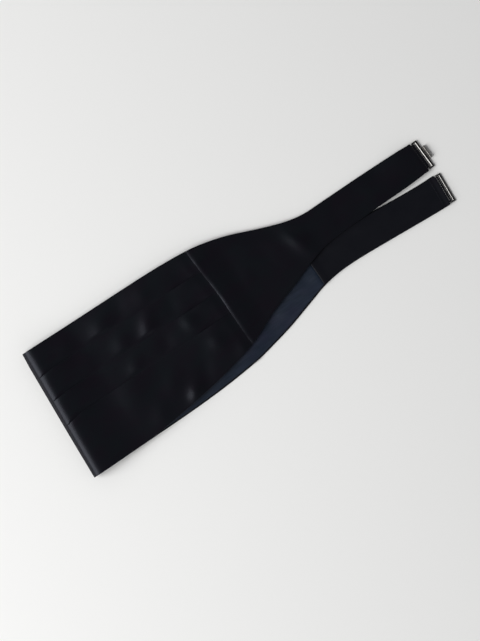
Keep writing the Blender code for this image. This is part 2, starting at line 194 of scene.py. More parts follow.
class Graph:
    """A node tree that starts empty."""

    def __init__(self, tree: bpy.types.NodeTree) -> None:
        """Empties the tree."""
        self.tree = tree
        tree.nodes.clear()

    def add(
        self,
        kind: str,
        settings: Mapping[str, object] | None = None,
        inputs: Mapping[str | int, Value] | None = None,
        output: str | int = 0,
    ) -> Wire:
        """Adds a node.

        Args:
            kind: The node's type.
            settings: Its properties, set before its sockets. "stops" holds a ramp's (place, colour) stops.
            inputs: Values or wires by socket identifier, name or number; a colour has three numbers.
            output: The output wanted, by name or number.

        Returns:
            That output.
        """
        node = self.tree.nodes.new(kind)
        for name, setting in (settings or {}).items():
            if name == "stops":
                self._set_stops(node.color_ramp, setting)
            else:
                setattr(node, name, setting)
        for key, value in (inputs or {}).items():
            socket = self._socket(node.inputs, key)
            if isinstance(value, Wire):
                self.tree.links.new(value.socket, socket)
            else:
                socket.default_value = (*value, 1.0) if socket.type == "RGBA" else value
        return Wire(self, self._socket(node.outputs or node.inputs, output))

    def _socket(self, sockets: Sequence[bpy.types.NodeSocket], key: str | int) -> bpy.types.NodeSocket:
        """Finds a socket.

        Args:
            sockets: A node's inputs or outputs.
            key: The socket's identifier, name or number.

        Returns:
            The socket.
        """
        if isinstance(key, int):
            return sockets[key]
        return next((socket for socket in sockets if socket.identifier == key), None) or sockets[key]

    def _set_stops(self, ramp: bpy.types.ColorRamp, stops: Sequence[tuple[float, Sequence[float]]]) -> None:
        """Gives a colour ramp its stops.

        Args:
            ramp: The ramp.
            stops: The place and the colour of each.
        """
        while len(ramp.elements) > 1:
            ramp.elements.remove(ramp.elements[-1])
        for number, (place, colour) in enumerate(stops):
            element = ramp.elements[0] if number == 0 else ramp.elements.new(place)
            element.position = place
            element.color = (*colour, 1.0)

    def mix(self, factor: Value, first: Value, second: Value) -> Wire:
        """A colour between two, by a factor from 0 to 1."""
        inputs = {"Factor_Float": factor, "A_Color": first, "B_Color": second}
        return self.add("ShaderNodeMix", {"data_type": "RGBA"}, inputs, "Result_Color")

    def fitted(self, value: Value, low: float, high: float, top: float = 1.0) -> Wire:
        """A value eased from a range to 0 and up to the top, held at the ends."""
        inputs = {1: low, 2: high, 3: 0.0, 4: top, 0: value}
        return self.add("ShaderNodeMapRange", {"interpolation_type": "SMOOTHSTEP"}, inputs)

    def own(self) -> Wire:
        """A piece's own coordinates, in metres."""
        return self.add("ShaderNodeTexCoord", output="Object")

    def stretched(self, where: Wire, factors: Colour) -> Wire:
        """Coordinates, each times its own factor."""
        return self.add("ShaderNodeVectorMath", {"operation": "MULTIPLY"}, {0: where, 1: factors})

    def cloth(self, along: float, across: float, turn: float = 0.0) -> Wire:
        """Coordinates over the flat cloth.

        Args:
            along: How many units a millimetre makes along the pattern.
            across: How many it makes across it.
            turn: Angle of the pattern on the cloth, in degrees.

        Returns:
            The stretched coordinates.
        """
        flat = self.add("ShaderNodeAttribute", {"attribute_name": CLOTH_COORDINATES}, output="Vector")
        inputs = {"Vector": flat, "Angle": math.radians(turn)}
        turned = self.add("ShaderNodeVectorRotate", {"rotation_type": "Z_AXIS"}, inputs)
        return self.stretched(turned, (along, across, 0.0))

    def noise(self, where: Wire, detail: float, roughness: float = 0.5, scale: float = 1.0) -> Wire:
        """Soft noise from 0 to 1."""
        inputs = {"Vector": where, "Scale": scale, "Detail": detail, "Roughness": roughness}
        return self.add("ShaderNodeTexNoise", None, inputs, "Fac")

    def waves(self, where: Wire, distortion: float) -> Wire:
        """Parallel ribs across the first coordinate.

        Args:
            where: The coordinates.
            distortion: How far the ribs waver.

        Returns:
            Their height, 0 to 1.
        """
        settings = {"wave_type": "BANDS", "bands_direction": "X", "wave_profile": "SIN"}
        inputs = {"Vector": where, "Scale": 1.0, "Distortion": distortion, "Detail": 1.0, "Detail Scale": 1.5}
        return self.add("ShaderNodeTexWave", settings, inputs, "Fac")

    def bump(self, height: Wire, strength: float, distance: float) -> Wire:
        """A surface normal from a height; the distance is in millimetres."""
        inputs = {"Strength": strength, "Distance": distance * MM, "Height": height}
        return self.add("ShaderNodeBump", None, inputs, "Normal")

    def surface(
        self, constants: Mapping[str, Value], colour: Wire, roughness: Wire, normal: Wire | None = None
    ) -> None:
        """Adds the shader and the material's output.

        Args:
            constants: Values that are the same all over.
            colour: The base colour over the surface.
            roughness: The roughness over the surface.
            normal: The bumped normal over the surface.
        """
        inputs = {**constants, "Base Color": colour, "Roughness": roughness}
        if normal:
            inputs["Normal"] = normal
        shader = self.add("ShaderNodeBsdfPrincipled", None, inputs)
        self.add("ShaderNodeOutputMaterial", None, {"Surface": shader})


# Finishes.


@dataclass(frozen=True)
class Finish:
    """A material's name, its two tones and its roughness. Each kind has a pattern of its own.

    A pattern's span says how many units a millimetre of the cloth makes along and across it.
    """

    name: str
    deep: Colour
    lifted: Colour
    roughness: float

    def material(self) -> bpy.types.Material:
        """Makes the material.

        Returns:
            The material, with its pattern.
        """
        made = bpy.data.materials.new(self.name)
        made.use_nodes = True
        self.pattern(Graph(made.node_tree))
        return made

    def pattern(self, graph: Graph) -> None:
        """Fills the material's empty graph."""
        raise NotImplementedError


@dataclass(frozen=True)
class SatinFinish(Finish):
    """Dense black satin: smooth floats along the cloth, soft patches of sheen and faint streaks."""

    name: str = "black_satin"
    deep: Colour = (0.0060, 0.0048, 0.0076)
    lifted: Colour = (0.0048, 0.0060, 0.0078)
    roughness: float = 0.32
    patch_roughness: float = 0.06
    streak_roughness: float = 0.04
    specular: float = 0.165
    tint: Colour = (0.82, 0.86, 1.0)
    patches: Span = (0.035, 0.05)
    streaks: Span = (0.05, 1.1)
    floats: Span = (2.4, 2.4)
    float_turn: float = 27.0
    streak_depth: float = 0.05

    def pattern(self, graph: Graph) -> None:
        """Adds the patches, the streaks and the floats.

        Args:
            graph: The material's empty graph.
        """
        patches = graph.noise(graph.cloth(*self.patches), 3.0)
        streaks = graph.noise(graph.cloth(*self.streaks), 4.0, 0.6)
        floats = graph.waves(graph.cloth(*self.floats, self.float_turn), 1.2)
        roughness = self.roughness + (patches - 0.5) * self.patch_roughness
        graph.surface(
            {"Specular IOR Level": self.specular, "Specular Tint": self.tint},
            graph.mix(graph.fitted(patches * 0.6 + streaks * 0.4, 0.35, 0.65), self.deep, self.lifted),
            roughness + (streaks - 0.5) * self.streak_roughness,
            graph.bump(streaks * 0.75 + floats * 0.25, 0.35, self.streak_depth),
        )


@dataclass(frozen=True)
class LiningFinish(Finish):
    """Navy acetate twill with two tones of thread and slubby streaks."""

    name: str = "navy_lining"
    deep: Colour = (0.0034, 0.0088, 0.0196)
    lifted: Colour = (0.0076, 0.0140, 0.0300)
    plum: Colour = (0.0086, 0.0106, 0.0280)
    roughness: float = 0.48
    slub_roughness: float = 0.12
    specular: float = 0.36
    slubs: Span = (0.06, 0.9)
    slub_turn: float = 4.0
    patches: Span = (0.03, 0.045)
    twill: Span = (1.5, 1.5)
    twill_turn: float = 38.0
    rib_depth: float = 0.06

    def pattern(self, graph: Graph) -> None:
        """Adds the slubs, the patches and the twill.

        Args:
            graph: The material's empty graph.
        """
        slubs = graph.noise(graph.cloth(*self.slubs, self.slub_turn), 4.0, 0.6)
        patches = graph.noise(graph.cloth(*self.patches), 2.0)
        twill = graph.waves(graph.cloth(*self.twill, self.twill_turn), 0.6)
        tone = graph.mix(graph.fitted(slubs, 0.36, 0.64), self.deep, self.lifted)
        graph.surface(
            {"Specular IOR Level": self.specular, "Sheen Weight": 0.04, "Sheen Roughness": 0.4},
            graph.mix(graph.fitted(patches, 0.45, 0.7, 0.8), tone, self.plum),
            self.roughness + (slubs - 0.5) * self.slub_roughness,
            graph.bump(slubs * 0.6 + twill * 0.4, 0.4, self.rib_depth),
        )


@dataclass(frozen=True)
class FacingFinish(Finish):
    """Black corded ribbon: fine ribs across the strap."""

    name: str = "black_facing"
    deep: Colour = (0.0036, 0.0040, 0.0068)
    lifted: Colour = (0.0046, 0.0050, 0.0080)
    roughness: float = 0.38
    wear_roughness: float = 0.08
    specular: float = 0.18
    ribs: Span = (0.62, 0.62)
    wear: Span = (0.05, 0.09)
    fibres: Span = (1.6, 0.25)
    rib_depth: float = 0.07

    def pattern(self, graph: Graph) -> None:
        """Adds the ribs, the wear and the fibres.

        Args:
            graph: The material's empty graph.
        """
        ribs = graph.waves(graph.cloth(*self.ribs), 0.35)
        wear = graph.noise(graph.cloth(*self.wear), 4.0, 0.6)
        fibres = graph.noise(graph.cloth(*self.fibres), 2.0)
        graph.surface(
            {"Specular IOR Level": self.specular, "Sheen Weight": 0.03, "Sheen Roughness": 0.4},
            graph.mix(graph.fitted(wear * 0.7 + ribs * 0.3, 0.35, 0.7), self.deep, self.lifted),
            self.roughness + (wear - 0.5) * self.wear_roughness,
            graph.bump(ribs * 0.7 + fibres * 0.3, 0.45, self.rib_depth),
        )


@dataclass(frozen=True)
class MetalFinish(Finish):
    """Steel plated black and polished; its lighter second tone is partly bare rubbed steel, partly painted
    highlight.
    """

    name: str = "black_plated_steel"
    deep: Colour = (0.14, 0.139, 0.137)
    # The lighter tone: partly bare rubbed steel, partly a painted highlight where the lamp's reflection
    # falls.
    lifted: Colour = (0.33, 0.32, 0.305)
    roughness: float = 0.09
    wear_and_highlight_roughness: float = 0.40
    brushed_roughness: float = 0.04
    brushing: Colour = (1800.0, 160.0, 900.0)

    def pattern(self, graph: Graph) -> None:
        """Adds the rubbing marks, the lighter tone that is partly bare steel and partly painted highlight,
        and the brushing.

        Args:
            graph: The material's empty graph.
        """
        marks = graph.fitted(graph.noise(graph.own(), 2.0, scale=150.0), 0.5, 0.8, 0.12)
        # Random rubbing marks plus the stored mask, which paints wear and a highlight on the bevels and the
        # lip.
        wear = marks + graph.add("ShaderNodeAttribute", {"attribute_name": WEAR_AND_HIGHLIGHT}, output="Fac")
        brushing = graph.noise(graph.stretched(graph.own(), self.brushing), 2.0)
        roughness = self.roughness + wear * (self.wear_and_highlight_roughness - self.roughness)
        graph.surface(
            {"Metallic": 1.0},
            graph.mix(wear, self.deep, self.lifted),
            roughness + brushing * self.brushed_roughness,
            graph.bump(brushing, 0.08, 0.01),
        )


@dataclass(frozen=True)
class ThreadFinish(Finish):
    """Twisted sewing thread, its twist painted with shade in the grooves."""

    roughness: float = 0.6
    twist: Colour = (2600.0, 2600.0, 2600.0)

    def pattern(self, graph: Graph) -> None:
        """Adds the twist, with painted shade in its grooves.

        Args:
            graph: The material's empty graph.
        """
        twist = graph.waves(graph.stretched(graph.own(), self.twist), 0.8)
        # The twist mixes the two tones: the deeper one is painted shade in its grooves, the lighter one a
        # painted highlight on the dark thread.
        graph.surface(
            {"Sheen Weight": 0.1, "Specular IOR Level": 0.3},
            graph.mix(twist, self.deep, self.lifted),
            self.roughness + twist * 0.1,
            graph.bump(twist, 0.3, 0.05),
        )


@dataclass(frozen=True)
class FloorFinish(Finish):
    """A plain pale studio floor."""

    name: str = "pale_floor"
    deep: Colour = (0.8928, 0.8928, 0.880896)
    lifted: Colour = (0.90, 0.90, 0.888)
    roughness: float = 0.85

    def pattern(self, graph: Graph) -> None:
        """Adds the faintest mottling.

        Args:
            graph: The material's empty graph.
        """
        mottle = graph.noise(graph.own(), 2.0, scale=1.4)
        colour = graph.mix(mottle, self.deep, self.lifted)
        graph.surface({"Specular IOR Level": 0.2}, colour, self.roughness + mottle * 0.05)


def made_from(finish: Finish) -> bpy.types.Material:
    """A dataclass field that holds a finish's material."""
    return field(default_factory=finish.material)


@dataclass
class Finishes:
    """The materials of every piece."""

    satin: bpy.types.Material = made_from(SatinFinish())
    lining: bpy.types.Material = made_from(LiningFinish())
    facing: bpy.types.Material = made_from(FacingFinish())
    metal: bpy.types.Material = made_from(MetalFinish())
    # Each thread's deeper tone is painted shade in its twist. The pale thread's light grey is partly its
    # colour and partly a painted glint.
    pale_glint_thread: bpy.types.Material = made_from(
        ThreadFinish("pale_glint_thread", (0.16, 0.16, 0.155), (0.32, 0.32, 0.31))
    )
    dark_thread: bpy.types.Material = made_from(
        ThreadFinish("dark_thread", (0.012, 0.012, 0.014), (0.03, 0.03, 0.034))
    )


# The garment's plan.


@dataclass(frozen=True)
class Outline:
    """A leaf's top and bottom edges."""

    top: Curve
    bottom: Curve

    def middle(self, x: Array | float) -> Array:
        """The y half way between the edges."""
        return (self.top.at(x) + self.bottom.at(x)) / 2

    def half(self, x: Array | float) -> Array:
        """Half the leaf's width."""
        return (self.top.at(x) - self.bottom.at(x)) / 2


EDGE_XS = (0.0, 60.0, 105.0, 140.0, 172.0, 190.0, 210.0, 235.0, 257.0, 275.0, 295.0, 335.0, 365.0, 392.0)
UPPER_OUTLINE = Outline(
    Curve(EDGE_XS, (63.2, 63.2, 63.3, 63.0, 61.2, 58.3, 52.9, 43.4, 35.9, 32.5, 32.6, 33.3, 33.4, 33.2)),
    Curve(EDGE_XS, (-62.2, -60.2, -54.6, -48.2, -39.4, -32.2, -24.2, -16.0, -7.6, -2.2, 0.2, 1.5, 2.4, 4.0)),
)
LOWER_OUTLINE = Outline(
    Curve(EDGE_XS, (63.2, 60.5, 57.5, 53.3, 46.8, 40.8, 31.8, 21.8, 13.2, 7.0, 4.7, 0.6, -1.3, -1.8)),
    Curve(
        EDGE_XS,
        (-62.2, -61.1, -59.9, -57.6, -53.8, -50.0, -45.2, -37.5, -30.8, -28.0, -27.5, -29.1, -30.5, -31.4),
    ),
)


class Leaf(Enum):
    """The parts of the folded garment, from one strap to the other."""

    UPPER = 1
    ROLL = 0
    LOWER = -1


@dataclass(frozen=True)
class Stations:
    """Lines across the folded cloth; each field is a column of values, one for each line."""

    leaf: Array
    x: Array
    turn: Array

    @property
    def run(self) -> Array:
        """How far along the cloth each station is.

        Returns:
            The distance from the top of the fold's roll, negative on the lower leaf.
        """
        foot = Plan.roll_radius * (1.0 - math.pi)
        rolled = Plan.roll_radius * (1.0 - math.pi * self.turn)
        return np.where(
            self.leaf > 0, self.x, np.where(self.leaf < 0, foot - (self.x - Plan.roll_radius), rolled)
        )

    @staticmethod
    def on_leaf(leaf: Leaf, xs: Sequence[float]) -> "Stations":
        """Stations on the upper or the lower leaf, at distances from the fold."""
        x = np.array(xs, float).reshape(-1, 1)
        return Stations(np.full_like(x, leaf.value), x, np.full_like(x, 0.0 if leaf is Leaf.UPPER else 1.0))

    @staticmethod
    def over_fold(far: float, spacing: float, roll_steps: int) -> "Stations":
        """Stations from the upper leaf's far end round the roll to the lower leaf's far end.

        Args:
            far: Distance of both far ends from the fold.
            spacing: Distance between lines on the leaves.
            roll_steps: Lines round the roll.

        Returns:
            The stations.
        """
        near = Plan.roll_radius + spacing / 2
        xs = np.linspace(far, near, int((far - near) / spacing) + 1)
        turns = np.linspace(0.0, 1.0, roll_steps)
        x = np.concatenate([xs, np.zeros(roll_steps), xs[::-1]]).reshape(-1, 1)
        parts = [part.value for part in Leaf]
        leaf = np.repeat(parts, [len(xs), roll_steps, len(xs)]).reshape(-1, 1)
        turn = np.concatenate([np.zeros(len(xs)), turns, np.ones(len(xs))]).reshape(-1, 1)
        return Stations(leaf, x, turn)


@dataclass(frozen=True)
class Crease:
    """A soft trough in the cloth, or a ridge where its depth is negative."""

    x: float
    y: float
    length: float
    width: float
    angle: float
    depth: float
    band: int = 0

    def at(self, x: Array, y: Array) -> Array:
        """Its depth at points of the cloth.

        Args:
            x: Distances along the cloth from the fold.
            y: Distances across it.

        Returns:
            The depth at each point.
        """
        turn = math.radians(self.angle)
        along = (x - self.x) * math.cos(turn) + (y - self.y) * math.sin(turn)
        across = (y - self.y) * math.cos(turn) - (x - self.x) * math.sin(turn)
        return self.depth * np.exp(-((along / self.length) ** 2) - (across / self.width) ** 2)


def creased(creases: Sequence[Crease], x: Array, y: Array, band: int = 0) -> Array:
    """The depth added by the creases of one band, or by those that no band keeps to itself."""
    ones = [crease.at(x, y) for crease in creases if crease.band == band]
    return sum(ones, np.zeros(np.broadcast(x, y).shape))


@dataclass(frozen=True)
class Ripple:
    """A wave over the cloth. Its lengths are those over which it turns by one radian."""

    height: float
    along: float
    across: float
    phase: float = 0.0


DRIFT = (
    Ripple(1.0, 23.0, 31.0, 0.4), Ripple(0.7, 13.5, -19.0, 2.1),
    Ripple(0.5, 8.3, 27.0, 4.0), Ripple(0.4, -41.0, 9.7),
)
SEAM_PUCKERS = (Ripple(1.0, math.inf, 1.35), Ripple(0.6, math.inf, 2.3, 1.0))
SEAM_UNEVENNESS = (Ripple(0.12, math.inf, 7.0, 0.6), Ripple(0.08, math.inf, 3.1))
LINING_RIPPLES = (Ripple(0.05, 4.1, 3.0), Ripple(0.04, 2.3, -5.0))


def rippled(ripples: Sequence[Ripple], x: Array, y: Array) -> Array:
    """The height of several waves together."""
    return sum(one.height * np.sin(x / one.along + y / one.across + one.phase) for one in ripples)


@dataclass(frozen=True)
class Plan:
    """How the garment's flat cloth is folded and laid."""

    wall: float = 1.0
    gap: float = 0.3
    panel_depth: float = 2.3
    seam_x: float = 171.6
    seam_lean: float = 0.026
    seam_bulge: float = 2.3
    bulge_reach: float = 38.0
    bulge_fade: Span = (8.0, 60.0)
    drift_height: float = 0.085
    drift_rise: Span = (10.0, 40.0)
    drift_fall: Span = (320.0, 365.0)
    taper_end: float = 200.0
    roll_radius: float = 6.0
    roll_ramp_end: float = 52.0
    roll_lean: float = 0.046
    roll_offset: float = -2.76
    roll_lean_end: float = 62.0
    droop_start: float = 4.0
    droop_length: float = 26.0
    upper_end_x: float = 389.7
    loop_radius: float = 2.1
    softness: Curve = Curve(
        (0.0, 0.7, 1.5, 2.5, 3.5, 4.5, 5.4, 6.4, 7.6, 9.2, 11.2),
        (0.40, 0.44, 0.546, 0.69, 0.775, 0.83, 0.87, 0.916, 0.96, 0.987, 1.0),
    )
    rest: Curve = Curve((200.0, 336.0, 378.0), (2.6, 2.6, 1.9))
    droop: Curve = Curve((172.0, 232.0, 345.0, 378.0), (0.0, 1.0, 1.0, 0.0))

    @property
    def step(self) -> float:
        """From one layer of cloth to the next."""
        return self.wall + self.gap

    def outer_depth(self, x: Array | float) -> Array:
        """Room for the outer layer: the pleated panel, then the side piece that thins past it."""
        return self.panel_depth + (self.wall - self.panel_depth) * ramp(x, self.seam_x, self.taper_end)

    def drift(self, x: Array, y: Array) -> Array:
        """Slow rise and fall of the upper leaf where it isn't quite flat."""
        kept = ramp(x, *self.drift_rise) * (1.0 - ramp(x, *self.drift_fall))
        return self.drift_height * rippled(DRIFT, x, y) * kept

    def upper_rest(self, x: Array, y: Array) -> Array:
        """Height of the upper leaf's inner face above the surface.

        Args:
            x: Distances from the fold.
            y: Places across the garment.

        Returns:
            The height at each point.
        """
        panel = self.outer_depth(x) + self.step + self.gap
        carried = np.where(x > self.taper_end, self.rest.stepped(x), panel)
        roll = 2 * self.roll_radius - 2 * (self.panel_depth + self.step) - self.gap
        carried = carried + roll * (1.0 - ramp(x, self.roll_radius, self.roll_ramp_end))
        past_edge = y - LOWER_OUTLINE.top.at(x) - self.droop_start
        return carried * (1.0 - eased(past_edge / self.droop_length) * self.droop.stepped(x))

    def place(self, at: Stations, y: Array, depth: Array) -> Array:
        """Points of the folded cloth.

        Args:
            at: The stations, one for each row of points.
            y: Places across the cloth.
            depth: Depths below the outermost face.

        Returns:
            Points in the plan, with x, y and z in the last axis.
        """
        lean = self.roll_offset + self.roll_lean * y
        angle = math.pi * (0.5 + at.turn)
        reach = self.roll_radius - depth
        flat_x = at.x + lean * (1.0 - ramp(at.x, self.roll_radius, self.roll_lean_end))
        flat_x = flat_x + self.seam_lean * -y * ramp(at.x, self.seam_x / 2, self.seam_x)
        near_seam = 1.0 - eased(np.abs(at.x - self.seam_x) / self.bulge_reach)
        bulge = self.seam_bulge * (1.0 - ramp(y, *self.bulge_fade))
        flat_x = flat_x + np.where(at.leaf > 0, bulge * near_seam, 0.0)
        rolled_x = self.roll_radius + reach * np.cos(angle)
        x = np.where(at.leaf == 0, rolled_x + lean, flat_x)
        outermost = self.upper_rest(at.x, y) + self.step + self.outer_depth(at.x) + self.drift(at.x, y)
        from_fold = np.where(at.leaf == 0, rolled_x, at.x)
        rise = np.where(at.leaf > 0, outermost - depth - self.roll_radius, reach * np.sin(angle))
        rise = np.where(rise > 0, rise * self.softness.at(from_fold), rise)
        z = np.where(at.leaf < 0, np.maximum(depth, 0.0), self.roll_radius + rise)
        return np.stack([x, np.broadcast_to(y, x.shape), z], axis=-1)


PLAN = Plan()


def joint_named(name: str) -> Mapping[str, object]:
    """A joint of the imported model."""
    return next(joint for joint in frame["joints"] if joint["name"] == name)


UPPER_BAR = (PLAN.upper_end_x, float(UPPER_OUTLINE.middle(PLAN.upper_end_x)), PLAN.loop_radius)
ORIGIN_IN_PLAN = np.array(UPPER_BAR) - np.array(joint_named("hook_swing")["pos_m"]) / MM


def in_part(points: Array) -> Array:
    """Plan points in millimetres as points of the part's frame in metres."""
    return (points - ORIGIN_IN_PLAN) * MM


# Cloth shells.


@dataclass
class Section:
    """Columns across a piece of cloth: its face and its back, with turned-under hems.

    Depth grows away from the face where inward is 1, and towards it where inward is -1.
    """

    depth: Callable[[Array], Array]
    thickness: float = 0.34
    inward: float = 1.0
    slack: float = 0.03
    columns: list[tuple[Array, Array, Array, Array]] = field(default_factory=list)

    @property
    def fold_radius(self) -> float:
        """Outer radius of a turned-under edge."""
        return self.thickness + self.slack

    def flat(self, start: Array, end: Array, shares: Sequence[float]) -> None:
        """Adds single cloth between two lines.

        Args:
            start: The first line's y at each station.
            end: The last line's y at each station.
            shares: Where the columns lie between them, 0 to 1.
        """
        for share in shares:
            y = start + (end - start) * share
            depth = self.depth(y)
            self.columns.append((y, depth, y, depth + self.inward * self.thickness))

    def hem(self, edge: Array, out: float, turned: float, steps: int = 6) -> None:
        """Adds a turned-under edge.

        Args:
            edge: The edge's outermost y at each station.
            out: 1 for the top edge, with which a section starts, and -1 for the bottom edge.
            turned: How much cloth is turned under.
            steps: Columns round the fold and along the turned cloth.
        """
        outer, inner = self.fold_radius, self.slack
        middle = edge - out * outer
        columns = []
        for angle in np.linspace(0.0, math.pi, steps + 1):
            depth = self.depth(middle)
            columns.append((
                middle + out * outer * math.sin(angle),
                depth + self.inward * outer * (1.0 - math.cos(angle)),
                middle + out * inner * math.sin(angle),
                depth + self.inward * (outer - inner * math.cos(angle)),
            ))
        for share in np.linspace(0.0, 1.0, steps)[1:]:
            y = middle - out * turned * share
            depth = self.depth(y)
            columns.append((y, depth + self.inward * 2 * outer, y, depth + self.inward * (outer + inner)))
        self.columns += reversed(columns) if out > 0 else columns

    def hemmed(self, top: Array, bottom: Array, turned: float, shares: Sequence[float]) -> None:
        """Adds cloth with both its long edges turned under.

        Args:
            top: The top edge's y at each station.
            bottom: The bottom edge's y at each station.
            turned: How much cloth is turned under.
            shares: Where the columns lie between the two folds, 0 to 1.
        """
        self.hem(top, 1.0, turned)
        self.flat(top - self.fold_radius, bottom + self.fold_radius, shares)
        self.hem(bottom, -1.0, turned)

    def selvedge(self, edge: Array, out: float) -> None:
        """Adds a plain edge, a little rounded.

        Args:
            edge: The edge's y at each station.
            out: 1 for the top edge, with which a section starts, and -1 for the bottom edge.
        """
        rounding = self.thickness / 2
        columns = []
        for share in (0.0, 0.35, 1.0):
            y = edge - out * rounding * share
            thin = self.thickness * 0.5 * (1.0 - math.sqrt(share)) * 0.9
            depth = self.depth(y)
            columns.append((y, depth + self.inward * thin, y, depth + self.inward * (self.thickness - thin)))
        self.columns += columns if out > 0 else reversed(columns)

    def grids(self) -> tuple[Array, Array, Array, Array]:
        """Face y, face depth, back y and back depth, each with a row for a station."""
        return tuple(np.concatenate(np.broadcast_arrays(*stack), axis=1) for stack in zip(*self.columns))

    def placed(self, at: Stations) -> tuple[Array, Array]:
        """The face's and the back's points in the plan."""
        face_y, face_depth, back_y, back_depth = self.grids()
        return PLAN.place(at, face_y, face_depth), PLAN.place(at, back_y, back_depth)


def even_shares(count: int) -> Array:
    """Evenly spaced shares from 0 to 1, without the ends."""
    return np.linspace(0.0, 1.0, count + 1)[1:-1]


def crowded_shares(count: int, even: float = 0.35) -> Array:
    """Shares from 0 to 1 that crowd towards both ends, without the first."""
    turn = np.linspace(0.0, math.pi, count + 1)[1:]
    return even * turn / math.pi + (1.0 - even) * (0.5 - 0.5 * np.cos(turn))


def shell_faces(rows: int, columns: int) -> Array:
    """Quads of a face, of the back numbered after it, and of the rim between them.

    Args:
        rows: How many rows of points each has.
        columns: How many points a row has.

    Returns:
        The point numbers of every quad.
    """
    count = rows * columns
    number = np.arange(count).reshape(rows, columns)
    loop = np.concatenate([number[0, :-1], number[:-1, -1], number[-1, :0:-1], number[:0:-1, 0]])
    after = np.roll(loop, -1)
    rim = np.stack([loop, after, after + count, loop + count], axis=1)
    corners = (number[:-1, :-1], number[1:, :-1], number[1:, 1:], number[:-1, 1:])
    face = np.stack(corners, axis=-1).reshape(-1, 4)
    return np.concatenate([face, face[:, ::-1] + count, rim])


def cloth_coordinates(face: Array) -> Array:
    """How far along and across the flat cloth each point of a grid is, in millimetres.

    Args:
        face: The grid's points in the plan.

    Returns:
        The two distances and a zero, in the last axis.
    """
    middle = face.shape[1] // 2
    along = np.linalg.norm(np.diff(face[:, middle], axis=0), axis=-1)
    across = np.linalg.norm(np.diff(face, axis=1), axis=-1)
    along = np.concatenate([[0.0], np.cumsum(along)])
    across = np.concatenate([np.zeros((len(face), 1)), np.cumsum(across, axis=1)], axis=1)
    across = across - across[:, middle : middle + 1]
    flat = np.zeros(face.shape)
    flat[..., 0] = along[:, None]
    flat[..., 1] = across
    return flat


def cloth_shell(
    name: str, face: Array, back: Array, finish: bpy.types.Material, node: str
) -> bpy.types.Object:
    """Makes a closed thin shell of cloth.

    Args:
        name: The piece's name.
        face: The face's points in the plan, in rows and columns.
        back: The back's points, in the same rows and columns.
        finish: Its material.
        node: The solid it stands for.

    Returns:
        The piece, in the part's frame.
    """
    points = np.concatenate([in_part(face).reshape(-1, 3), in_part(back).reshape(-1, 3)])
    mesh = bpy.data.meshes.new(name)
    mesh.from_pydata(points.tolist(), [], shell_faces(*face.shape[:2]).tolist())
    flat = cloth_coordinates(face).reshape(-1, 3)
    stored = mesh.attributes.new(CLOTH_COORDINATES, "FLOAT_VECTOR", "POINT")
    stored.data.foreach_set("vector", np.concatenate([flat, flat + BACK_SHIFT]).ravel())
    return finished(name, mesh, finish, node)


def shown(name: str, data: bpy.types.ID) -> bpy.types.Object:
    """Puts a mesh, a light or a camera in the scene.

    Args:
        name: The object's name.
        data: What it shows.

    Returns:
        The new object.
    """
    made = bpy.data.objects.new(name, data)
    bpy.context.scene.collection.objects.link(made)
    return made


def finished(
    name: str,
    mesh: bpy.types.Mesh,
    finish: bpy.types.Material,
    node: str = "",
    body: str = "garment",
) -> bpy.types.Object:
    """Turns a mesh outwards, shades it smooth and makes it a piece of a body.

    Args:
        name: The piece's name.
        mesh: Its mesh, in the part's frame.
        finish: Its material.
        node: The solid it stands for, if there is one.
        body: The body it rides.

    Returns:
        The piece.
    """
    working = bmesh.new()
    working.from_mesh(mesh)
    bmesh.ops.recalc_face_normals(working, faces=working.faces)
    working.to_mesh(mesh)
    working.free()
    mesh.shade_smooth()
    mesh.set_sharp_from_angle(angle=math.radians(SMOOTH_UP_TO))
    mesh.materials.append(finish)
    piece = shown(name, mesh)
    if node:
        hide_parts(node)
    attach(piece, body)
    LOG.info("%s: %d faces", name, len(mesh.polygons))
    return piece


def state_cut(
    piece: bpy.types.Object, width: float, length: float, rests_on: str = "lining", **area: float
) -> None:
    """Takes a cloth's flat width and length, in millimetres, and how it lies, but keeps none of them."""
    length * MM


# The pleated front.


UPPER_FACE_CREASES = (
    Crease(70.4, 42.6, 13, 10, 57, -1.5, 1),
    Crease(117, 49.5, 10, 8, 60, -0.6, 1),
    Crease(36, 50, 12, 8, 66, -0.5, 1),
    Crease(93, 51, 12, 8, 66, 0.5, 1),
    Crease(106, 22, 14, 7.5, 57, -1.75, 2),
    Crease(79, 22.5, 10, 8.5, 60, -0.9, 2),
    Crease(45, 26, 10, 8, 70, -0.5, 2),
    Crease(134, 27, 10, 7, 70, 0.5, 2),
    Crease(139.4, 7, 8.5, 6.5, 102, -1.1, 3),
    Crease(78.4, -1, 9, 7, 52, -0.8, 3),
    Crease(112, 2, 10, 7, 62, 0.5, 3),
    Crease(62, -19, 24, 18, 66, -1.35, 4),
    Crease(149.4, -20.3, 8.5, 7, 94, -1.15, 4),
    Crease(110.5, -48, 8.5, 6.5, 44, -2.2, 4),
    Crease(164, -39.2, 8, 6, 62, -0.75, 4),
    Crease(96, -32, 14, 8, 50, -0.6, 4),
    Crease(128, -36, 13, 7, 66, 0.6, 4),
    Crease(75, -47, 13, 9, 58, -0.9, 4),
    Crease(174, 46.5, 9, 5, 62, -0.35),
    Crease(184, 33, 14, 7, 108, 0.12),
    Crease(203, 12, 18, 8, 66, -0.40),
    Crease(190, -16, 12, 6, 70, 0.10),
    Crease(228, 22, 16, 7, 96, 0.28),
    Crease(258.6, 17, 19, 7.5, 106, -1.9),
    Crease(300, 17, 16, 7, 80, 0.20),
    Crease(334, 20, 18, 7, 96, -0.18),
)

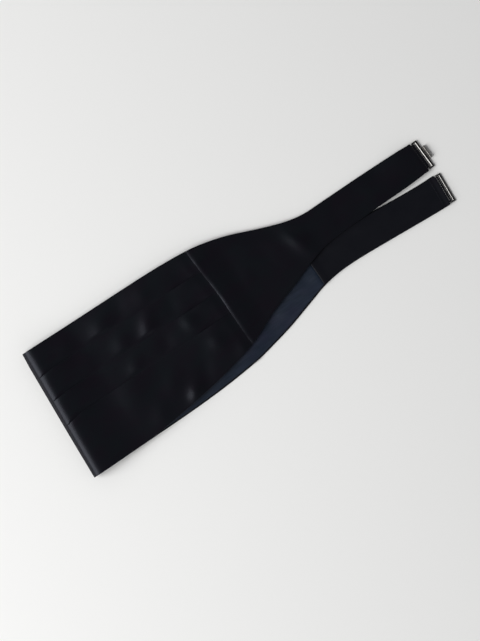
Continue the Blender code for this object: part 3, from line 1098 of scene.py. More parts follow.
LOWER_FACE_CREASES = (
    Crease(-70, 30, 16, 6, 12, 0.30),
    Crease(-110, -20, 18, 6, -16, 0.32),
    Crease(-145, 12, 12, 5, 24, 0.28),
    Crease(-60, -45, 14, 5, 8, 0.26),
    Crease(-205, 0, 18, 6, 14, 0.28),
    Crease(-245, -14, 16, 5, 20, 0.24),
    Crease(-330, -12, 22, 6, 2, 0.2),
)


def face_creases(at: Stations, y: Array, band: int = 0) -> Array:
    """Depth that creases add to the garment's outer face, or only those of one band."""
    lower = creased(LOWER_FACE_CREASES, at.run, y, band) * (at.leaf < 0)
    return creased(UPPER_FACE_CREASES, at.run, y, band) * (1.0 - at.turn) + lower


def garment_edges(at: Stations) -> tuple[Array, Array]:
    """The garment's bottom and top edges.

    Args:
        at: The stations.

    Returns:
        The y of the bottom edge and that of the top edge.
    """
    below = at.leaf < 0
    top = np.where(below, LOWER_OUTLINE.top.at(at.x), UPPER_OUTLINE.top.at(at.x))
    bottom = np.where(below, LOWER_OUTLINE.bottom.at(at.x), UPPER_OUTLINE.bottom.at(at.x))
    return bottom, top


SINK_TO_TURN = 0.8
SEAM_STAND = 0.56
SEAM_SWELL = 0.26
SEAM_SWELL_Y = 10.0
SEAM_SWELL_REACH = 24.0


def edge_sink(at: Stations) -> Array:
    """How far the outer cloth sinks towards a long edge: fully on the upper leaf, not on the lower."""
    return (PLAN.outer_depth(at.x) - PLAN.wall) * (1.0 - eased(at.turn / SINK_TO_TURN))


def seam_lift(y: Array) -> Array:
    """How far the side piece stands over the front at the seam: most in the middle of the garment."""
    return SEAM_STAND + SEAM_SWELL * np.exp(-(((y - SEAM_SWELL_Y) / SEAM_SWELL_REACH) ** 2))


@dataclass
class PleatedFront:
    """Four satin bands, each folded along its top and lying on the margin of the band above."""

    upper_edges: tuple[Curve, ...] = (
        Curve((0.0, 25.0, 172.0), (37.4, 38.6, 38.9)),
        Curve((0.0, 25.0, 172.0), (13.6, 14.8, 15.5)),
        Curve((0.0, 25.0, 172.0), (-10.6, -7.6, -6.0)),
    )
    lower_edges: tuple[Curve, ...] = (
        Curve((0.0, 172.0), (37.4, 24.6)),
        Curve((0.0, 172.0), (13.6, 1.2)),
        Curve((0.0, 172.0), (-10.6, -20.4)),
    )
    end_x: float = 173.4
    spacing: float = 1.5
    roll_steps: int = 34
    turned_under: float = 9.0
    margin: float = 8.0
    brink: float = 1.2
    gape_by_fold: Span = (20.0, 12.0)
    gape_by_seam: Span = (155.0, 10.0)
    loose_to: float = 0.5
    columns: int = 26
    last_columns: int = 28
    brink_columns: int = 12
    margin_columns: int = 5
    seam_drop: Span = (163.0, 170.5)
    tucked_depth: float = 0.80
    brim: float = 0.05
    open_brim: float = 0.45
    open_tuck: float = 5.0
    tuck_share: float = 0.9
    last_bow: float = 1.6
    edge_lift: float = 0.75
    edge_reach: float = 4.5
    hem_slope: float = 15.0
    seam_sink: float = 0.8
    pressed_sink: float = 1.05
    crease_fade: float = 4.0
    crease_clear: float = 0.5
    thickness: float = 0.26

    def edge(self, at: Stations, number: int) -> Array:
        """Where a band's top edge lies.

        Args:
            at: The stations.
            number: The band; one past the last gives the garment's bottom edge.

        Returns:
            The edge's y.
        """
        bottom, top = garment_edges(at)
        if number == 1:
            return top
        if number > len(self.upper_edges) + 1:
            return bottom
        upper, lower = self.upper_edges[number - 2], self.lower_edges[number - 2]
        return np.where(at.leaf < 0, lower.at(at.x), upper.at(at.x))

    def openness(self, at: Stations) -> Array:
        """How far a pleat stands open: near the fold and the seam of the upper leaf, not between.

        Args:
            at: The stations.

        Returns:
            The openness, 0 to 1.
        """
        by_fold, by_seam = (
            np.exp(-(((where - middle) / reach) ** 2))
            for where, (middle, reach) in ((at.run, self.gape_by_fold), (at.x, self.gape_by_seam))
        )
        return np.where(at.leaf > 0, np.maximum(by_fold, by_seam), np.where(at.leaf < 0, 0.0, by_fold))

    def depth_of(self, at: Stations, number: int, start: Array, end: Array) -> Callable[[Array], Array]:
        """How deep a band's face lies across its width.

        Args:
            at: The stations.
            number: The band, from 1 at the top edge.
            start: The y of its folded edge.
            end: The y of the next band's edge.

        Returns:
            A function of y.
        """
        last = number == len(self.upper_edges) + 1
        open_share = self.openness(at)
        loose = 1.0 - eased(at.turn / self.loose_to)
        sink = edge_sink(at)
        width = start - end
        brim = (self.brim + self.open_brim * open_share) * loose
        tuck = self.open_tuck * open_share
        sunk = np.where(at.leaf > 0, self.seam_sink * seam_lift(start), self.pressed_sink)
        seam_drop = ramp(at.x, *self.seam_drop) * sunk

        def depth(y: Array) -> Array:
            """The depth of the band's face.

            Args:
                y: Places across the garment.

            Returns:
                The depth at each y.
            """
            across = start - y
            share = np.clip(across / width, 0.0, 1.0)
            if number == 1:
                inward = eased(across / self.hem_slope)
                body = sink * (1.0 - inward) + brim * inward
            elif last:
                body = sink * share**self.last_bow
            else:
                body = brim * share**2
            if not last:
                fall = eased((across - (width - tuck)) / (self.tuck_share * tuck + self.brink))
                body = body * (1.0 - fall) + self.tucked_depth * fall
            if number > 1:
                body = body - self.edge_lift * open_share * np.exp(-((across / self.edge_reach) ** 2))
            kept = 1.0 if last else eased((width - across - self.crease_clear) / self.crease_fade)
            return body + seam_drop + face_creases(at, y) + face_creases(at, y, number) * kept

        return depth

    def build(self, finishes: Finishes) -> None:
        """Makes the bands.

        Args:
            finishes: The materials.
        """
        at = Stations.over_fold(self.end_x, self.spacing, self.roll_steps)
        count = len(self.upper_edges) + 1
        for number in range(1, count + 1):
            start, end = self.edge(at, number), self.edge(at, number + 1)
            section = Section(self.depth_of(at, number, start, end), thickness=self.thickness)
            if number == count:
                section.hemmed(start, end, self.turned_under, crowded_shares(self.last_columns)[:-1])
            else:
                brink = np.linspace(0.0, 1.0, self.brink_columns + 1)[1:]
                section.hem(start, 1.0, self.turned_under)
                section.flat(start - section.fold_radius, end + self.brink, crowded_shares(self.columns))
                section.flat(end + self.brink, end - self.brink, brink)
                section.flat(end - self.brink, end - self.margin, crowded_shares(self.margin_columns))
            face, back = section.placed(at)
            band = cloth_shell(
                f"front_band_{number}", face, back, finishes.satin, f"front_pleat_{number}"
            )
            state_cut(band, self.flat_width(section), 2 * self.end_x + (math.pi - 2) * PLAN.roll_radius)

    def flat_width(self, section: Section) -> float:
        """A band's width laid flat.

        Args:
            section: The band's section.

        Returns:
            The width in millimetres, with the cloth that is turned under.
        """
        face_y, face_depth, _, _ = section.grids()
        middle = len(face_y) // 4
        return np.hypot(np.diff(face_y[middle]), np.diff(face_depth[middle])).sum()


# Strap ends.


@dataclass(frozen=True)
class StrapEnd:
    """Where a strap turns round its metal piece, and how far the strap swings off the x axis."""

    leaf: Leaf
    outline: Outline
    joint: str
    x: float
    swing: float
    skew: Span = (300.0, 378.0)

    def point_rows(self, along: Array, across: Array, height: Array) -> Array:
        """Points of the end's own frame in the plan.

        Args:
            along: Distances along the strap, past its bar.
            across: Places across the strap.
            height: Heights above the surface.

        Returns:
            The points.
        """
        across = np.broadcast_to(across, np.broadcast(along, across, height).shape)
        turn = math.radians(self.swing)
        x = self.x + along * math.cos(turn) - across * math.sin(turn)
        y = float(self.outline.middle(self.x)) + along * math.sin(turn) + across * math.cos(turn)
        return np.stack(np.broadcast_arrays(x, y, height), axis=-1)

    def squared(self, points: Array) -> Array:
        """Turns the lines across a strap square to its own direction as they near its end.

        Args:
            points: Points of the strap in the plan.

        Returns:
            The points, moved along the garment.
        """
        share = ramp(points[..., 0], *self.skew)
        offset = self.outline.middle(points[..., 0]) - points[..., 1]
        moved = points.copy()
        moved[..., 0] += math.tan(math.radians(self.swing)) * offset * share
        return moved


UPPER_END = StrapEnd(Leaf.UPPER, UPPER_OUTLINE, "hook_swing", PLAN.upper_end_x, 3.4)
LOWER_END = StrapEnd(Leaf.LOWER, LOWER_OUTLINE, "eye_swing", 390.6, -2.6)


@dataclass
class TurnRow:
    """One line across the cloth where it turns round the bar: its face, the way in, and its reach."""

    along: float
    height: float
    in_along: float
    in_height: float
    half: float
    squeeze: float


@dataclass
class StrapTurn:
    """The cloth's path round the inner bar of a metal piece and back over the strap."""

    loop_half: float = 12.3
    back_half: float = 14.0
    shoulder: float = 4.6
    bar_radius: float = 1.15
    bar_reach: float = 1.25
    notch_start: float = 1.95
    notch_end: float = 1.25
    pinched: float = 0.5
    turned_back: float = 7.0
    settled: float = 2.46
    settle_over: float = 6.4
    tucked: float = 3.0
    squeezed: float = 0.2
    fold_radius: float = 0.1
    steps: int = 12

    def rows(self, half: float) -> list[TurnRow]:
        """The lines across the cloth, for a strap whose outer face is down.

        Args:
            half: Half the strap's width before its shoulder.

        Returns:
            The lines, from the shoulder round the bar to the raw edge.
        """
        rows = []
        for share in np.linspace(0.0, 1.0, 2 * self.steps):
            pinch = 1.0 - (1.0 - self.pinched) * float(eased(share))
            along = -self.shoulder * (1.0 - share)
            rows.append(TurnRow(along, self.lift(along), 0.0, 1.0, self.notched(half, -along), pinch))
        for turn in np.linspace(-math.pi / 2, math.pi / 2, 2 * self.steps + 1)[1:]:
            cos, sin = math.cos(turn), math.sin(turn)
            steep = math.hypot(cos / self.bar_reach, sin / self.bar_radius)
            rows.append(TurnRow(
                self.bar_reach * cos, PLAN.loop_radius + self.bar_radius * sin,
                -cos / self.bar_reach / steep, -sin / self.bar_radius / steep, self.loop_half, self.pinched,
            ))
        far = self.turned_back - self.fold_radius
        for share in np.linspace(0.0, 1.0, 2 * self.steps)[1:]:
            back = far * share
            pinch = self.pinched + (self.squeezed - self.pinched) * float(eased(back / self.settle_over))
            wide = self.notched(self.back_half, back)
            rows.append(TurnRow(-back, self.back_height(back), 0.0, -1.0, wide, pinch))
        rows += self._raw_edge(far)
        return rows

    @property
    def length(self) -> float:
        """Length of the cloth from the middle of the bar to its own end."""
        return math.pi * (self.bar_radius + self.bar_reach) / 2 + self.turned_back + self.tucked

    def notched(self, half: float, back: float) -> float:
        """Half the cloth's width at a distance behind the bar: narrow where the frame's arms swing."""
        share = float(ramp(back, self.notch_end, self.notch_start))
        return self.loop_half + (half - self.loop_half) * share

    def lift(self, along: float) -> float:
        """How far the strap's outer face has come up from its flat at a place before the bar."""
        return (PLAN.loop_radius - self.bar_radius) * float(ramp(along, -self.shoulder, 0.0))

    def back_height(self, back: float) -> float:
        """Height of the turned-back cloth over the strap's flat outer face."""
        top = PLAN.loop_radius + self.bar_radius
        return top + (self.settled - top) * float(eased(back / self.settle_over))

    def _raw_edge(self, far: float) -> list[TurnRow]:
        """The turned-back cloth's own end, folded under.

        Args:
            far: How far behind the bar the fold starts.

        Returns:
            Its lines.
        """
        rows = []
        for turn in np.linspace(0.0, math.pi, 7)[1:]:
            cos, sin = math.cos(turn), math.sin(turn)
            rows.append(TurnRow(
                -far - self.fold_radius * sin, self.settled - self.fold_radius * (1.0 - cos),
                sin, -cos, self.back_half, self.squeezed,
            ))
        for back in np.linspace(far, far - self.tucked, 4)[1:]:
            height = self.settled - 2 * self.fold_radius
            rows.append(TurnRow(-back, height, 0.0, 1.0, self.back_half, self.squeezed))
        return rows

    def grid(self, end: StrapEnd, lateral: Array, depth: Array) -> Array:
        """A surface's points round the turn.

        Args:
            end: The strap's end.
            lateral: Each column's place across the strap, from -1 to 1.
            depth: Each column's depth under the outer face.

        Returns:
            Points in the plan, a row for each line.
        """
        result = []
        for row in self.rows(float(end.outline.half(end.x))):
            inside = depth * row.squeeze
            along = row.along + row.in_along * inside
            height = row.height + row.in_height * inside
            if end.leaf is Leaf.UPPER:
                height = 2 * PLAN.loop_radius - height
            result.append(end.point_rows(along, lateral * row.half, height))
        return np.stack(result)


@dataclass
class SidePiece:
    """A satin side piece: from the front's seam to the strap's end, round the bar and back."""

    name: str
    node: str
    end: StrapEnd
    lip: Curve
    last_x: float = 378.0
    spacing: float = 1.6
    turned_under: float = 6.5
    hem_slope: float = 15.0
    calm: Span = (340.0, 376.0)
    pucker: float = 0.06
    pucker_middle: float = 4.0
    pucker_reach: float = 6.0
    hem_bend: float = 0.3
    columns: int = 46
    bridge_steps: int = 8
    turn: StrapTurn = field(default_factory=StrapTurn)

    def _xs(self) -> Array:
        """Where its lines lie.

        Returns:
            Their distances from the fold, close together on the seam's lip.
        """
        lip = PLAN.seam_x + np.array([0.0, 0.15, 0.4, 0.7, 1.0, 1.4, 1.8, 2.2, 2.6, 3.0, 3.6, 4.4, 5.5])
        count = int((self.last_x - lip[-1]) / self.spacing)
        return np.concatenate([lip, np.linspace(lip[-1], self.last_x, count + 1)[1:]])

    def depth_of(self, at: Stations) -> Callable[[Array], Array]:
        """How deep the side's face lies across its width.

        Args:
            at: The stations.

        Returns:
            A function of y.
        """
        bottom, top = garment_edges(at)
        sink = edge_sink(at)
        lip = self.lip.at(at.x - PLAN.seam_x)
        fade = 1.0 - ramp(at.x, *self.calm)
        past = (at.x - PLAN.seam_x - self.pucker_middle) / self.pucker_reach
        pucker = self.pucker * np.exp(-(past**2))

        def depth(y: Array) -> Array:
            """The depth of the side's face.

            Args:
                y: Places across the garment.

            Returns:
                The depth at each y.
            """
            from_edge = np.minimum(top - y, y - bottom)
            hem = sink * (1.0 - eased(from_edge / self.hem_slope))
            puckers = pucker * (1.0 + rippled(SEAM_PUCKERS, 0.0, y))
            uneven = seam_lift(y) * (1.0 + rippled(SEAM_UNEVENNESS, 0.0, y))
            return hem + lip * uneven + (face_creases(at, y) + puckers) * fade

        return depth

    def build(self, finishes: Finishes) -> None:
        """Makes the side piece.

        Args:
            finishes: The materials.
        """
        at = Stations.on_leaf(self.end.leaf, self._xs())
        bottom, top = garment_edges(at)
        section = Section(self.depth_of(at))
        section.hemmed(top, bottom, self.turned_under, even_shares(self.columns))
        face_y, face_depth, back_y, back_depth = section.grids()
        face, back = (
            self._with_end(PLAN.place(at, y, depth), y[-1], depth[-1], top[-1], bottom[-1])
            for y, depth in ((face_y, face_depth), (back_y, back_depth))
        )
        self._cut(cloth_shell(self.name, face, back, finishes.satin, self.node))

    def _with_end(self, leaf: Array, y: Array, depth: Array, top: Array, bottom: Array) -> Array:
        """Adds the turn round the bar to a surface of the leaf.

        Args:
            leaf: The surface's points along the leaf.
            y: The last line's places across the strap.
            depth: The last line's depths.
            top: The strap's top edge there.
            bottom: The strap's bottom edge there.

        Returns:
            The whole surface.
        """
        leaf = self.end.squared(leaf)
        lateral = (y - (top + bottom) / 2) / ((top - bottom) / 2)
        turned = self.turn.grid(self.end, lateral, depth)
        shares = even_shares(self.bridge_steps).reshape(-1, 1, 1)
        bridge = leaf[-1] + (turned[0] - leaf[-1]) * shares
        return np.concatenate([leaf, bridge, turned])

    def _cut(self, piece: bpy.types.Object) -> None:
        """Works out the side's flat cut, with its hems and the cloth that goes round the bar, for state_cut,
        which keeps none of it.

        Args:
            piece: The side piece.
        """
        length = self.end.x - PLAN.seam_x
        hems = 2 * (self.turned_under + math.pi * self.hem_bend)
        widths = 2 * self.end.outline.half(np.linspace(PLAN.seam_x, self.end.x, 60)) + hems
        turn = self.turn.length
        area = float(widths.mean() * length + (2 * self.turn.back_half + hems) * turn)
        state_cut(piece, float(widths.max()), length + turn, area=area * MM * MM)


UPPER_LIP = Curve(
    (0.0, 0.4, 1.0, 1.8, 2.6, 3.3, 4.2, 5.5), (0.76, 0.61, 0.40, 0.17, 0.02, -0.05, -0.05, 0.0)
)
LOWER_LIP = Curve((0.0, 0.12, 0.28, 0.5, 0.8, 1.2), (0.90, 0.52, 0.28, 0.12, 0.03, 0.0))


# Lining and facings.


LINING_CREASES = (
    Crease(-120, -49, 10, 4, 32, 0.35),
    Crease(-150, -45, 12, 4.5, 18, 0.32),
    Crease(-181, -40, 9, 3.5, 40, 0.30),
    Crease(-206, -33, 14, 4.5, 26, 0.34),
    Crease(-232, -27, 9, 3.5, 34, 0.28),
    Crease(-252, -19, 8, 3.5, 22, 0.26),
    Crease(-95, 0, 22, 7, 14, 0.4),
    Crease(-60, 34, 18, 6, -12, 0.35),
    Crease(60, -20, 18, 6, 14, 0.25),
    Crease(150, 46, 16, 6, -16, 0.3),
    Crease(205, 44, 14, 5, -30, 0.25),
)


@dataclass
class Lining:
    """The lining of both leaves, its long edges turned under just inside the satin's."""

    far: float = 257.8
    spacing: float = 1.8
    roll_steps: int = 30
    inset: float = 1.3
    thickness: float = 0.35
    turned_under: float = 5.0
    hem_stack: float = 1.05
    hem_slack: float = 0.05
    hem_bend: float = 1.0
    clear_of_satin: float = 0.1
    fullness: float = 0.09
    pillow: float = 9.0
    end_dip: float = 0.8
    dip_run: float = 2.6
    settle: float = 4.0
    columns: int = 60

    def depth_of(self, at: Stations) -> Callable[[Array], Array]:
        """How deep the lining's own face lies.

        Args:
            at: The stations.

        Returns:
            A function of y.
        """
        bottom, top = garment_edges(at)
        by_edge = edge_sink(at) + self.hem_stack + 2 * (self.thickness + self.hem_slack)
        middle = PLAN.outer_depth(at.x) + PLAN.gap + PLAN.wall - self.clear_of_satin
        dip = self.end_dip * eased((at.x - (self.far - self.dip_run)) / self.dip_run)

        def depth(y: Array) -> Array:
            """The depth of the lining's face.

            Args:
                y: Places across the garment.

            Returns:
                The depth at each y.
            """
            from_edge = np.minimum(top - y, y - bottom) - self.inset
            body = by_edge + (middle - by_edge) * eased(from_edge / self.pillow)
            added = creased(LINING_CREASES, at.run, y) + rippled(LINING_RIPPLES, at.run, y) + self.fullness
            return body - dip - added * eased(from_edge / self.settle)

        return depth

    def build(self, finishes: Finishes) -> None:
        """Makes the lining.

        Args:
            finishes: The materials.
        """
        at = Stations.over_fold(self.far, self.spacing, self.roll_steps)
        bottom, top = garment_edges(at)
        section = Section(self.depth_of(at), thickness=self.thickness, inward=-1.0)
        shares = even_shares(self.columns)
        section.hemmed(top - self.inset, bottom + self.inset, self.turned_under, shares)
        face, back = section.placed(at)
        piece = cloth_shell("lining_cloth", face, back, finishes.lining, "lining")
        xs = np.linspace(0.0, self.far, 60)
        hems = 2 * (self.turned_under + self.hem_bend - self.inset)
        widths = np.concatenate([2 * UPPER_OUTLINE.half(xs), 2 * LOWER_OUTLINE.half(xs)]) + hems
        length = 2 * self.far
        area = float(widths.mean()) * length * MM * MM
        state_cut(piece, float(widths.max()), length, rests_on="front_band_1", area=area)


@dataclass
class StrapFacing:
    """A corded ribbon on a strap's inner face. Its front end is folded under, over the lining's end."""

    name: str
    node: str
    end: StrapEnd
    front_x: float = 256.4
    short_of_bar: float = 1.9
    spacing: float = 1.3
    inset: float = 0.7
    thickness: float = 0.40
    slack: float = 0.05
    turned_under: float = 6.0
    face_depth: float = 2.2
    front_depth: float = 2.55
    proud_fall: Span = (257.5, 264.5)
    sag_rise: Span = (262.0, 272.0)
    sag_fall: Span = (360.0, 376.0)
    bend_length: float = 1.0
    columns: int = 30

    def _rows(self) -> tuple[Array, Array, Array, Array]:
        """Where each line's face and back lie.

        Returns:
            The face's x and depth and the back's x and depth.
        """
        outer = self.thickness + self.slack
        bend = self.front_x + outer
        rows = []
        for share in np.linspace(1.0, 0.0, 5)[:-1]:
            x = bend + self.turned_under * share
            low = self._depth(x) - 2 * outer
            rows.append((x, low, x, low + self.thickness))
        for turn in np.linspace(math.pi, 0.0, 9):
            low = self._depth(bend) - outer
            rows.append((
                bend - outer * math.sin(turn), low + outer * math.cos(turn),
                bend - self.slack * math.sin(turn), low + self.slack * math.cos(turn),
            ))
        last = self.end.x - self.short_of_bar
        for x in np.linspace(bend, last, int((last - bend) / self.spacing) + 1)[1:]:
            rows.append((x, self._depth(x), x, self._depth(x) - self.thickness))
        return tuple(np.array(column).reshape(-1, 1) for column in zip(*rows))

    def _depth(self, x: float) -> float:
        """Depth of the facing's face at x: proud at its folded end."""
        proud = 1.0 - float(ramp(x, *self.proud_fall))
        return self.face_depth + (self.front_depth - self.face_depth) * proud

    def _sag(self, x: Array, y: Array) -> Array:
        """How far the ribbon hangs from the strap: unevenly, and not by its ends."""
        uneven = 0.12 * np.sin(x / 17.0 + 1.0) * np.sin(y / 9.0) + 0.08 * np.sin(x / 7.3 + y / 4.0)
        return 0.5 * np.abs(uneven) * (ramp(x, *self.sag_rise) * (1.0 - ramp(x, *self.sag_fall)))

    def build(self, finishes: Finishes) -> None:
        """Makes the facing.

        Args:
            finishes: The materials.
        """
        face_x, face_depth, back_x, back_depth = self._rows()
        at_face, at_back = (Stations.on_leaf(self.end.leaf, x) for x in (face_x, back_x))
        bottom, top = (edge.reshape(-1, 1) for edge in garment_edges(at_face))
        section = Section(np.zeros_like, self.thickness, inward=-1.0)
        section.selvedge(top - self.inset, 1.0)
        rounding = self.thickness / 2
        section.flat(top - self.inset - rounding, bottom + self.inset + rounding, even_shares(self.columns))
        section.selvedge(bottom + self.inset, -1.0)
        y, thin, _, thick = section.grids()
        sag = self._sag(face_x, y)
        near = PLAN.place(at_face, y, face_depth - sag)
        far = PLAN.place(at_back, y, back_depth - sag)
        shares = (np.abs(part)[..., None] / self.thickness for part in (thin, thick))
        face, back = (self.end.squared(near * (1.0 - share) + far * share) for share in shares)
        piece = cloth_shell(self.name, face, back, finishes.facing, self.node)
        widths = 2 * (self.end.outline.half(np.linspace(self.front_x, self.end.x, 40)) - self.inset)
        length = self.end.x - self.short_of_bar - self.front_x + self.turned_under + self.bend_length
        area = float(widths.mean()) * length * MM * MM
        state_cut(piece, float(widths.max()), length, area=area)


@dataclass
class StitchRow:
    """A row of hand stitches across a strap, close to its metal piece.

    A stitch's end radius is a share of its radius, and its dive a multiple of its rise.
    """

    name: str
    end: StrapEnd
    along: float
    height: float
    finish: bpy.types.Material
    half: float = 11.6
    pitch: float = 1.95
    length: float = 1.15
    radius: float = 0.19
    end_radius: float = 0.55
    rise: float = 0.2
    dive: float = 1.6
    lean: float = 0.12
    lean_turn: float = 2.4
    sides: int = 8
    steps: int = 8

    def build(self) -> None:
        """Makes the stitches as one piece of thread."""
        working = bmesh.new()
        count = int(2 * self.half / self.pitch)
        for number in range(count + 1):
            lean = self.lean * math.sin(number * self.lean_turn)
            self._stitch(working, (number - count / 2) * self.pitch, lean)
        mesh = bpy.data.meshes.new(self.name)
        working.to_mesh(mesh)
        working.free()
        finished(self.name, mesh, self.finish)

    def _stitch(self, working: bmesh.types.BMesh, across: float, lean: float) -> None:
        """Adds one stitch: a short thread that rises out of the cloth and goes back in.

        Args:
            working: The mesh it is added to.
            across: Its middle's place across the strap.
            lean: How far its far end leans along the strap.
        """
        angles = np.arange(self.sides) * 2 * math.pi / self.sides
        rings = []
        for share in np.linspace(-1.0, 1.0, self.steps + 1):
            full = math.sqrt(max(0.0, 1.0 - share**2))
            swell = self.radius * (self.end_radius + (1.0 - self.end_radius) * full)
            along = self.along + lean * share + swell * np.cos(angles)
            height = self.height + self.rise * (1.0 - self.dive * share**2) + swell * np.sin(angles)
            middle = np.array([across + share * self.length / 2])
            points = in_part(self.end.point_rows(along, middle, height))
            rings.append([working.verts.new(point) for point in points.tolist()])
        for first, second in zip(rings, rings[1:]):
            for i in range(self.sides):
                j = (i + 1) % self.sides
                working.faces.new((first[i], first[j], second[j], second[i]))
        working.faces.new(rings[0][::-1])
        working.faces.new(rings[-1])


# Metal pieces.


HOOK_TOP = Curve(
    (0.0, 0.015, 0.04, 0.08, 0.35, 0.66, 0.70, 0.90, 0.93, 1.0),
    (0.0, 0.22, 0.34, 0.40, 0.45, 0.45, 0.43, 0.02, -0.06, -0.36),
)
EYE_TOP = Curve(
    (0.0, 0.015, 0.04, 0.08, 0.35, 0.77, 0.80, 0.94, 0.96, 1.0),
    (0.0, 0.24, 0.37, 0.43, 0.45, 0.45, 0.43, 0.09, 0.02, -0.20),
)


@dataclass
class MetalFrame:
    """A stamped frame with crowned bars. The hook also has a lip bent back over its tongue."""

    name: str
    body: str
    end: StrapEnd
    tip_reach: float
    hooked: bool
    length: float = 28.2
    sheet: float = 0.9
    inner_bar: float = 1.3
    arm: float = 1.5
    slot_end: float = 2.6
    outer_bar: float = 2.6
    corner: float = 0.75
    slot_corner: float = 0.35
    top: Curve = HOOK_TOP
    under: Curve = Curve((0.0, 0.03, 0.09, 0.91, 0.97, 1.0), (-0.1, -0.36, -0.45, -0.45, -0.42, -0.36))
    rounds: int = 21
    # From this share across the bar, the inner bevel gets the lighter tone: partly wear, partly a painted
    # highlight.
    wear_and_highlight_from: float = 0.67
    bevel_wear_and_highlight: float = 0.45
    tongue_width: float = 12.5
    tongue_reach: float = 3.5
    tongue_corner: float = 1.2
    lip_sheet: float = 0.8
    lip_mouth: float = 1.0
    lip_gap: float = 0.95
    lip_full_to: float = 0.75
    lip_edge: float = 0.15

    @property
    def edge(self) -> float:
        """The outer bar's outer edge."""
        return self.slot_end + self.outer_bar

    @property
    def lip_bend(self) -> float:
        """Radius of the lip's bend, to the middle of its sheet."""
        return (self.lip_mouth + self.lip_sheet) / 2

    @property
    def bend_x(self) -> float:
        """Where the lip's bend starts."""
        return self.edge + self.tongue_reach - self.lip_bend - self.lip_sheet / 2

    def _outline(self, low: float, high: float, half: float, corner: float) -> Array:
        """An oblong's points in its plan, with rounded corners.

        Args:
            low: Its lowest x.
            high: Its highest x.
            half: Half its length across.
            corner: Its corners' radius.

        Returns:
            The points in order, x and y in the last axis.
        """
        middles = (
            (high - corner, half - corner, 0.0), (low + corner, half - corner, 0.5),
            (low + corner, corner - half, 1.0), (high - corner, corner - half, 1.5),
        )
        turns = np.linspace(0.0, 0.5, 7)
        corners = []
        for x, y, start in middles:
            angle = math.pi * (start + turns)
            corners.append(np.column_stack([x + corner * np.cos(angle), y + corner * np.sin(angle)]))
        return np.concatenate(corners)

    def _ring(self) -> tuple[Array, Array, Array]:
        """The frame itself.

        Returns:
            Its points in its own axes, in millimetres, its faces, and how much of the lighter tone each point
            gets: wear and painted highlight.
        """
        outer = self._outline(-self.inner_bar / 2, self.edge, self.length / 2, self.corner)
        inner = self._outline(self.inner_bar / 2, self.slot_end, self.length / 2 - self.arm, self.slot_corner)
        shares = sorted({*self.top.xs, *np.linspace(0.0, 1.0, self.rounds).tolist()})
        heights = [(share, float(self.top.at(share))) for share in shares]
        heights += [(share, float(self.under.at(share))) for share in reversed(self.under.xs)]
        count = len(outer)
        loops = [
            np.column_stack([outer * (1.0 - share) + inner * share, np.full(count, height)])
            for share, height in heights
        ]
        # The inner bevel gets part of the lighter tone: wear and a painted highlight.
        worn_and_highlit = [self.bevel_wear_and_highlight if self.wear_and_highlight_from < share < 1.0 else 0.0 for share in shares]
        wear_and_highlight = np.repeat([*worn_and_highlit, *np.zeros(len(heights) - len(worn_and_highlit))], count)
        number = np.arange(len(loops) * count).reshape(-1, count)
        after, beside = np.roll(number, -1, axis=0), np.roll(number, -1, axis=1)
        faces = np.stack([number, after, np.roll(after, -1, axis=1), beside], axis=-1).reshape(-1, 4)
        return np.concatenate(loops), faces, wear_and_highlight

    def _tongue(self) -> tuple[Array, Array]:
        """The hook's tongue and lip.

        Returns:
            Their points in the frame's own axes, in millimetres, and their faces.
        """
        edge, bend, bend_x = self.edge, self.lip_bend, self.bend_x
        half_sheet = self.lip_sheet / 2
        low = -self.sheet / 2 + half_sheet
        path = [(x, low, 0.0, -1.0, 1.0) for x in np.linspace(edge - self.outer_bar / 2, bend_x, 8)[:-1]]
        for angle in np.linspace(-math.pi / 2, math.pi / 2, 15):
            cos, sin = math.cos(angle), math.sin(angle)
            path.append((bend_x + bend * cos, low + bend + bend * sin, cos, sin, 1.0))
        free = edge + self.lip_gap
        for share in (0.4, self.lip_full_to, 0.9, 0.97, 1.0):
            past = max(0.0, (share - self.lip_full_to) / (1.0 - self.lip_full_to))
            full = max(math.sqrt(1.0 - past**2), self.lip_edge)
            path.append((bend_x + (free - bend_x) * share, low + 2 * bend, 0.0, 1.0, full))
        across = np.sin(np.linspace(-math.pi / 2, math.pi / 2, 25))
        outside, inside = [], []
        for x, z, out_x, out_z, full in path:
            past = max(0.0, x - (edge + self.tongue_reach - self.tongue_corner))
            narrowed = self.tongue_corner - math.sqrt(max(0.0, self.tongue_corner**2 - past**2))
            half = self.tongue_width / 2 - narrowed
            thin = half_sheet * full * (1.0 - np.abs(across) ** 24) ** 0.5
            for side, way in ((outside, 1.0), (inside, -1.0)):
                side.append(np.column_stack([x + way * out_x * thin, across * half, z + way * out_z * thin]))
        return np.concatenate([*outside, *inside]), shell_faces(len(path), len(across))

    def build(self, finishes: Finishes) -> None:
        """Makes the frame in its strap's turn.

        Args:
            finishes: The materials.
        """
        points, faces, wear_and_highlight = self._ring()
        if self.hooked:
            more, extra = self._tongue()
            faces = np.concatenate([faces, extra + len(points)])
            points = np.concatenate([points, more])
            # The lip's flat top gets the full lighter tone: wear and a painted highlight.
            on_lip = (more[:, 0] > self.edge) & (more[:, 0] < self.bend_x + self.lip_sheet / 2)
            wear_and_highlight = np.concatenate([wear_and_highlight, on_lip.astype(float)])
        tip = math.asin((PLAN.loop_radius - self.sheet / 2) / self.tip_reach)
        turn = Matrix.Rotation(math.radians(self.end.swing), 4, "Z") @ Matrix.Rotation(tip, 4, "Y")
        seat = Matrix.Translation(Vector(joint_named(self.end.joint)["pos_m"])) @ turn
        mesh = bpy.data.meshes.new(self.name)
        mesh.from_pydata((points * MM).tolist(), [], faces.tolist())
        mesh.attributes.new(WEAR_AND_HIGHLIGHT, "FLOAT", "POINT").data.foreach_set("value", wear_and_highlight)
        mesh.transform(seat)
        finished(self.name, mesh, finishes.metal, self.body, self.body)


# Studio.


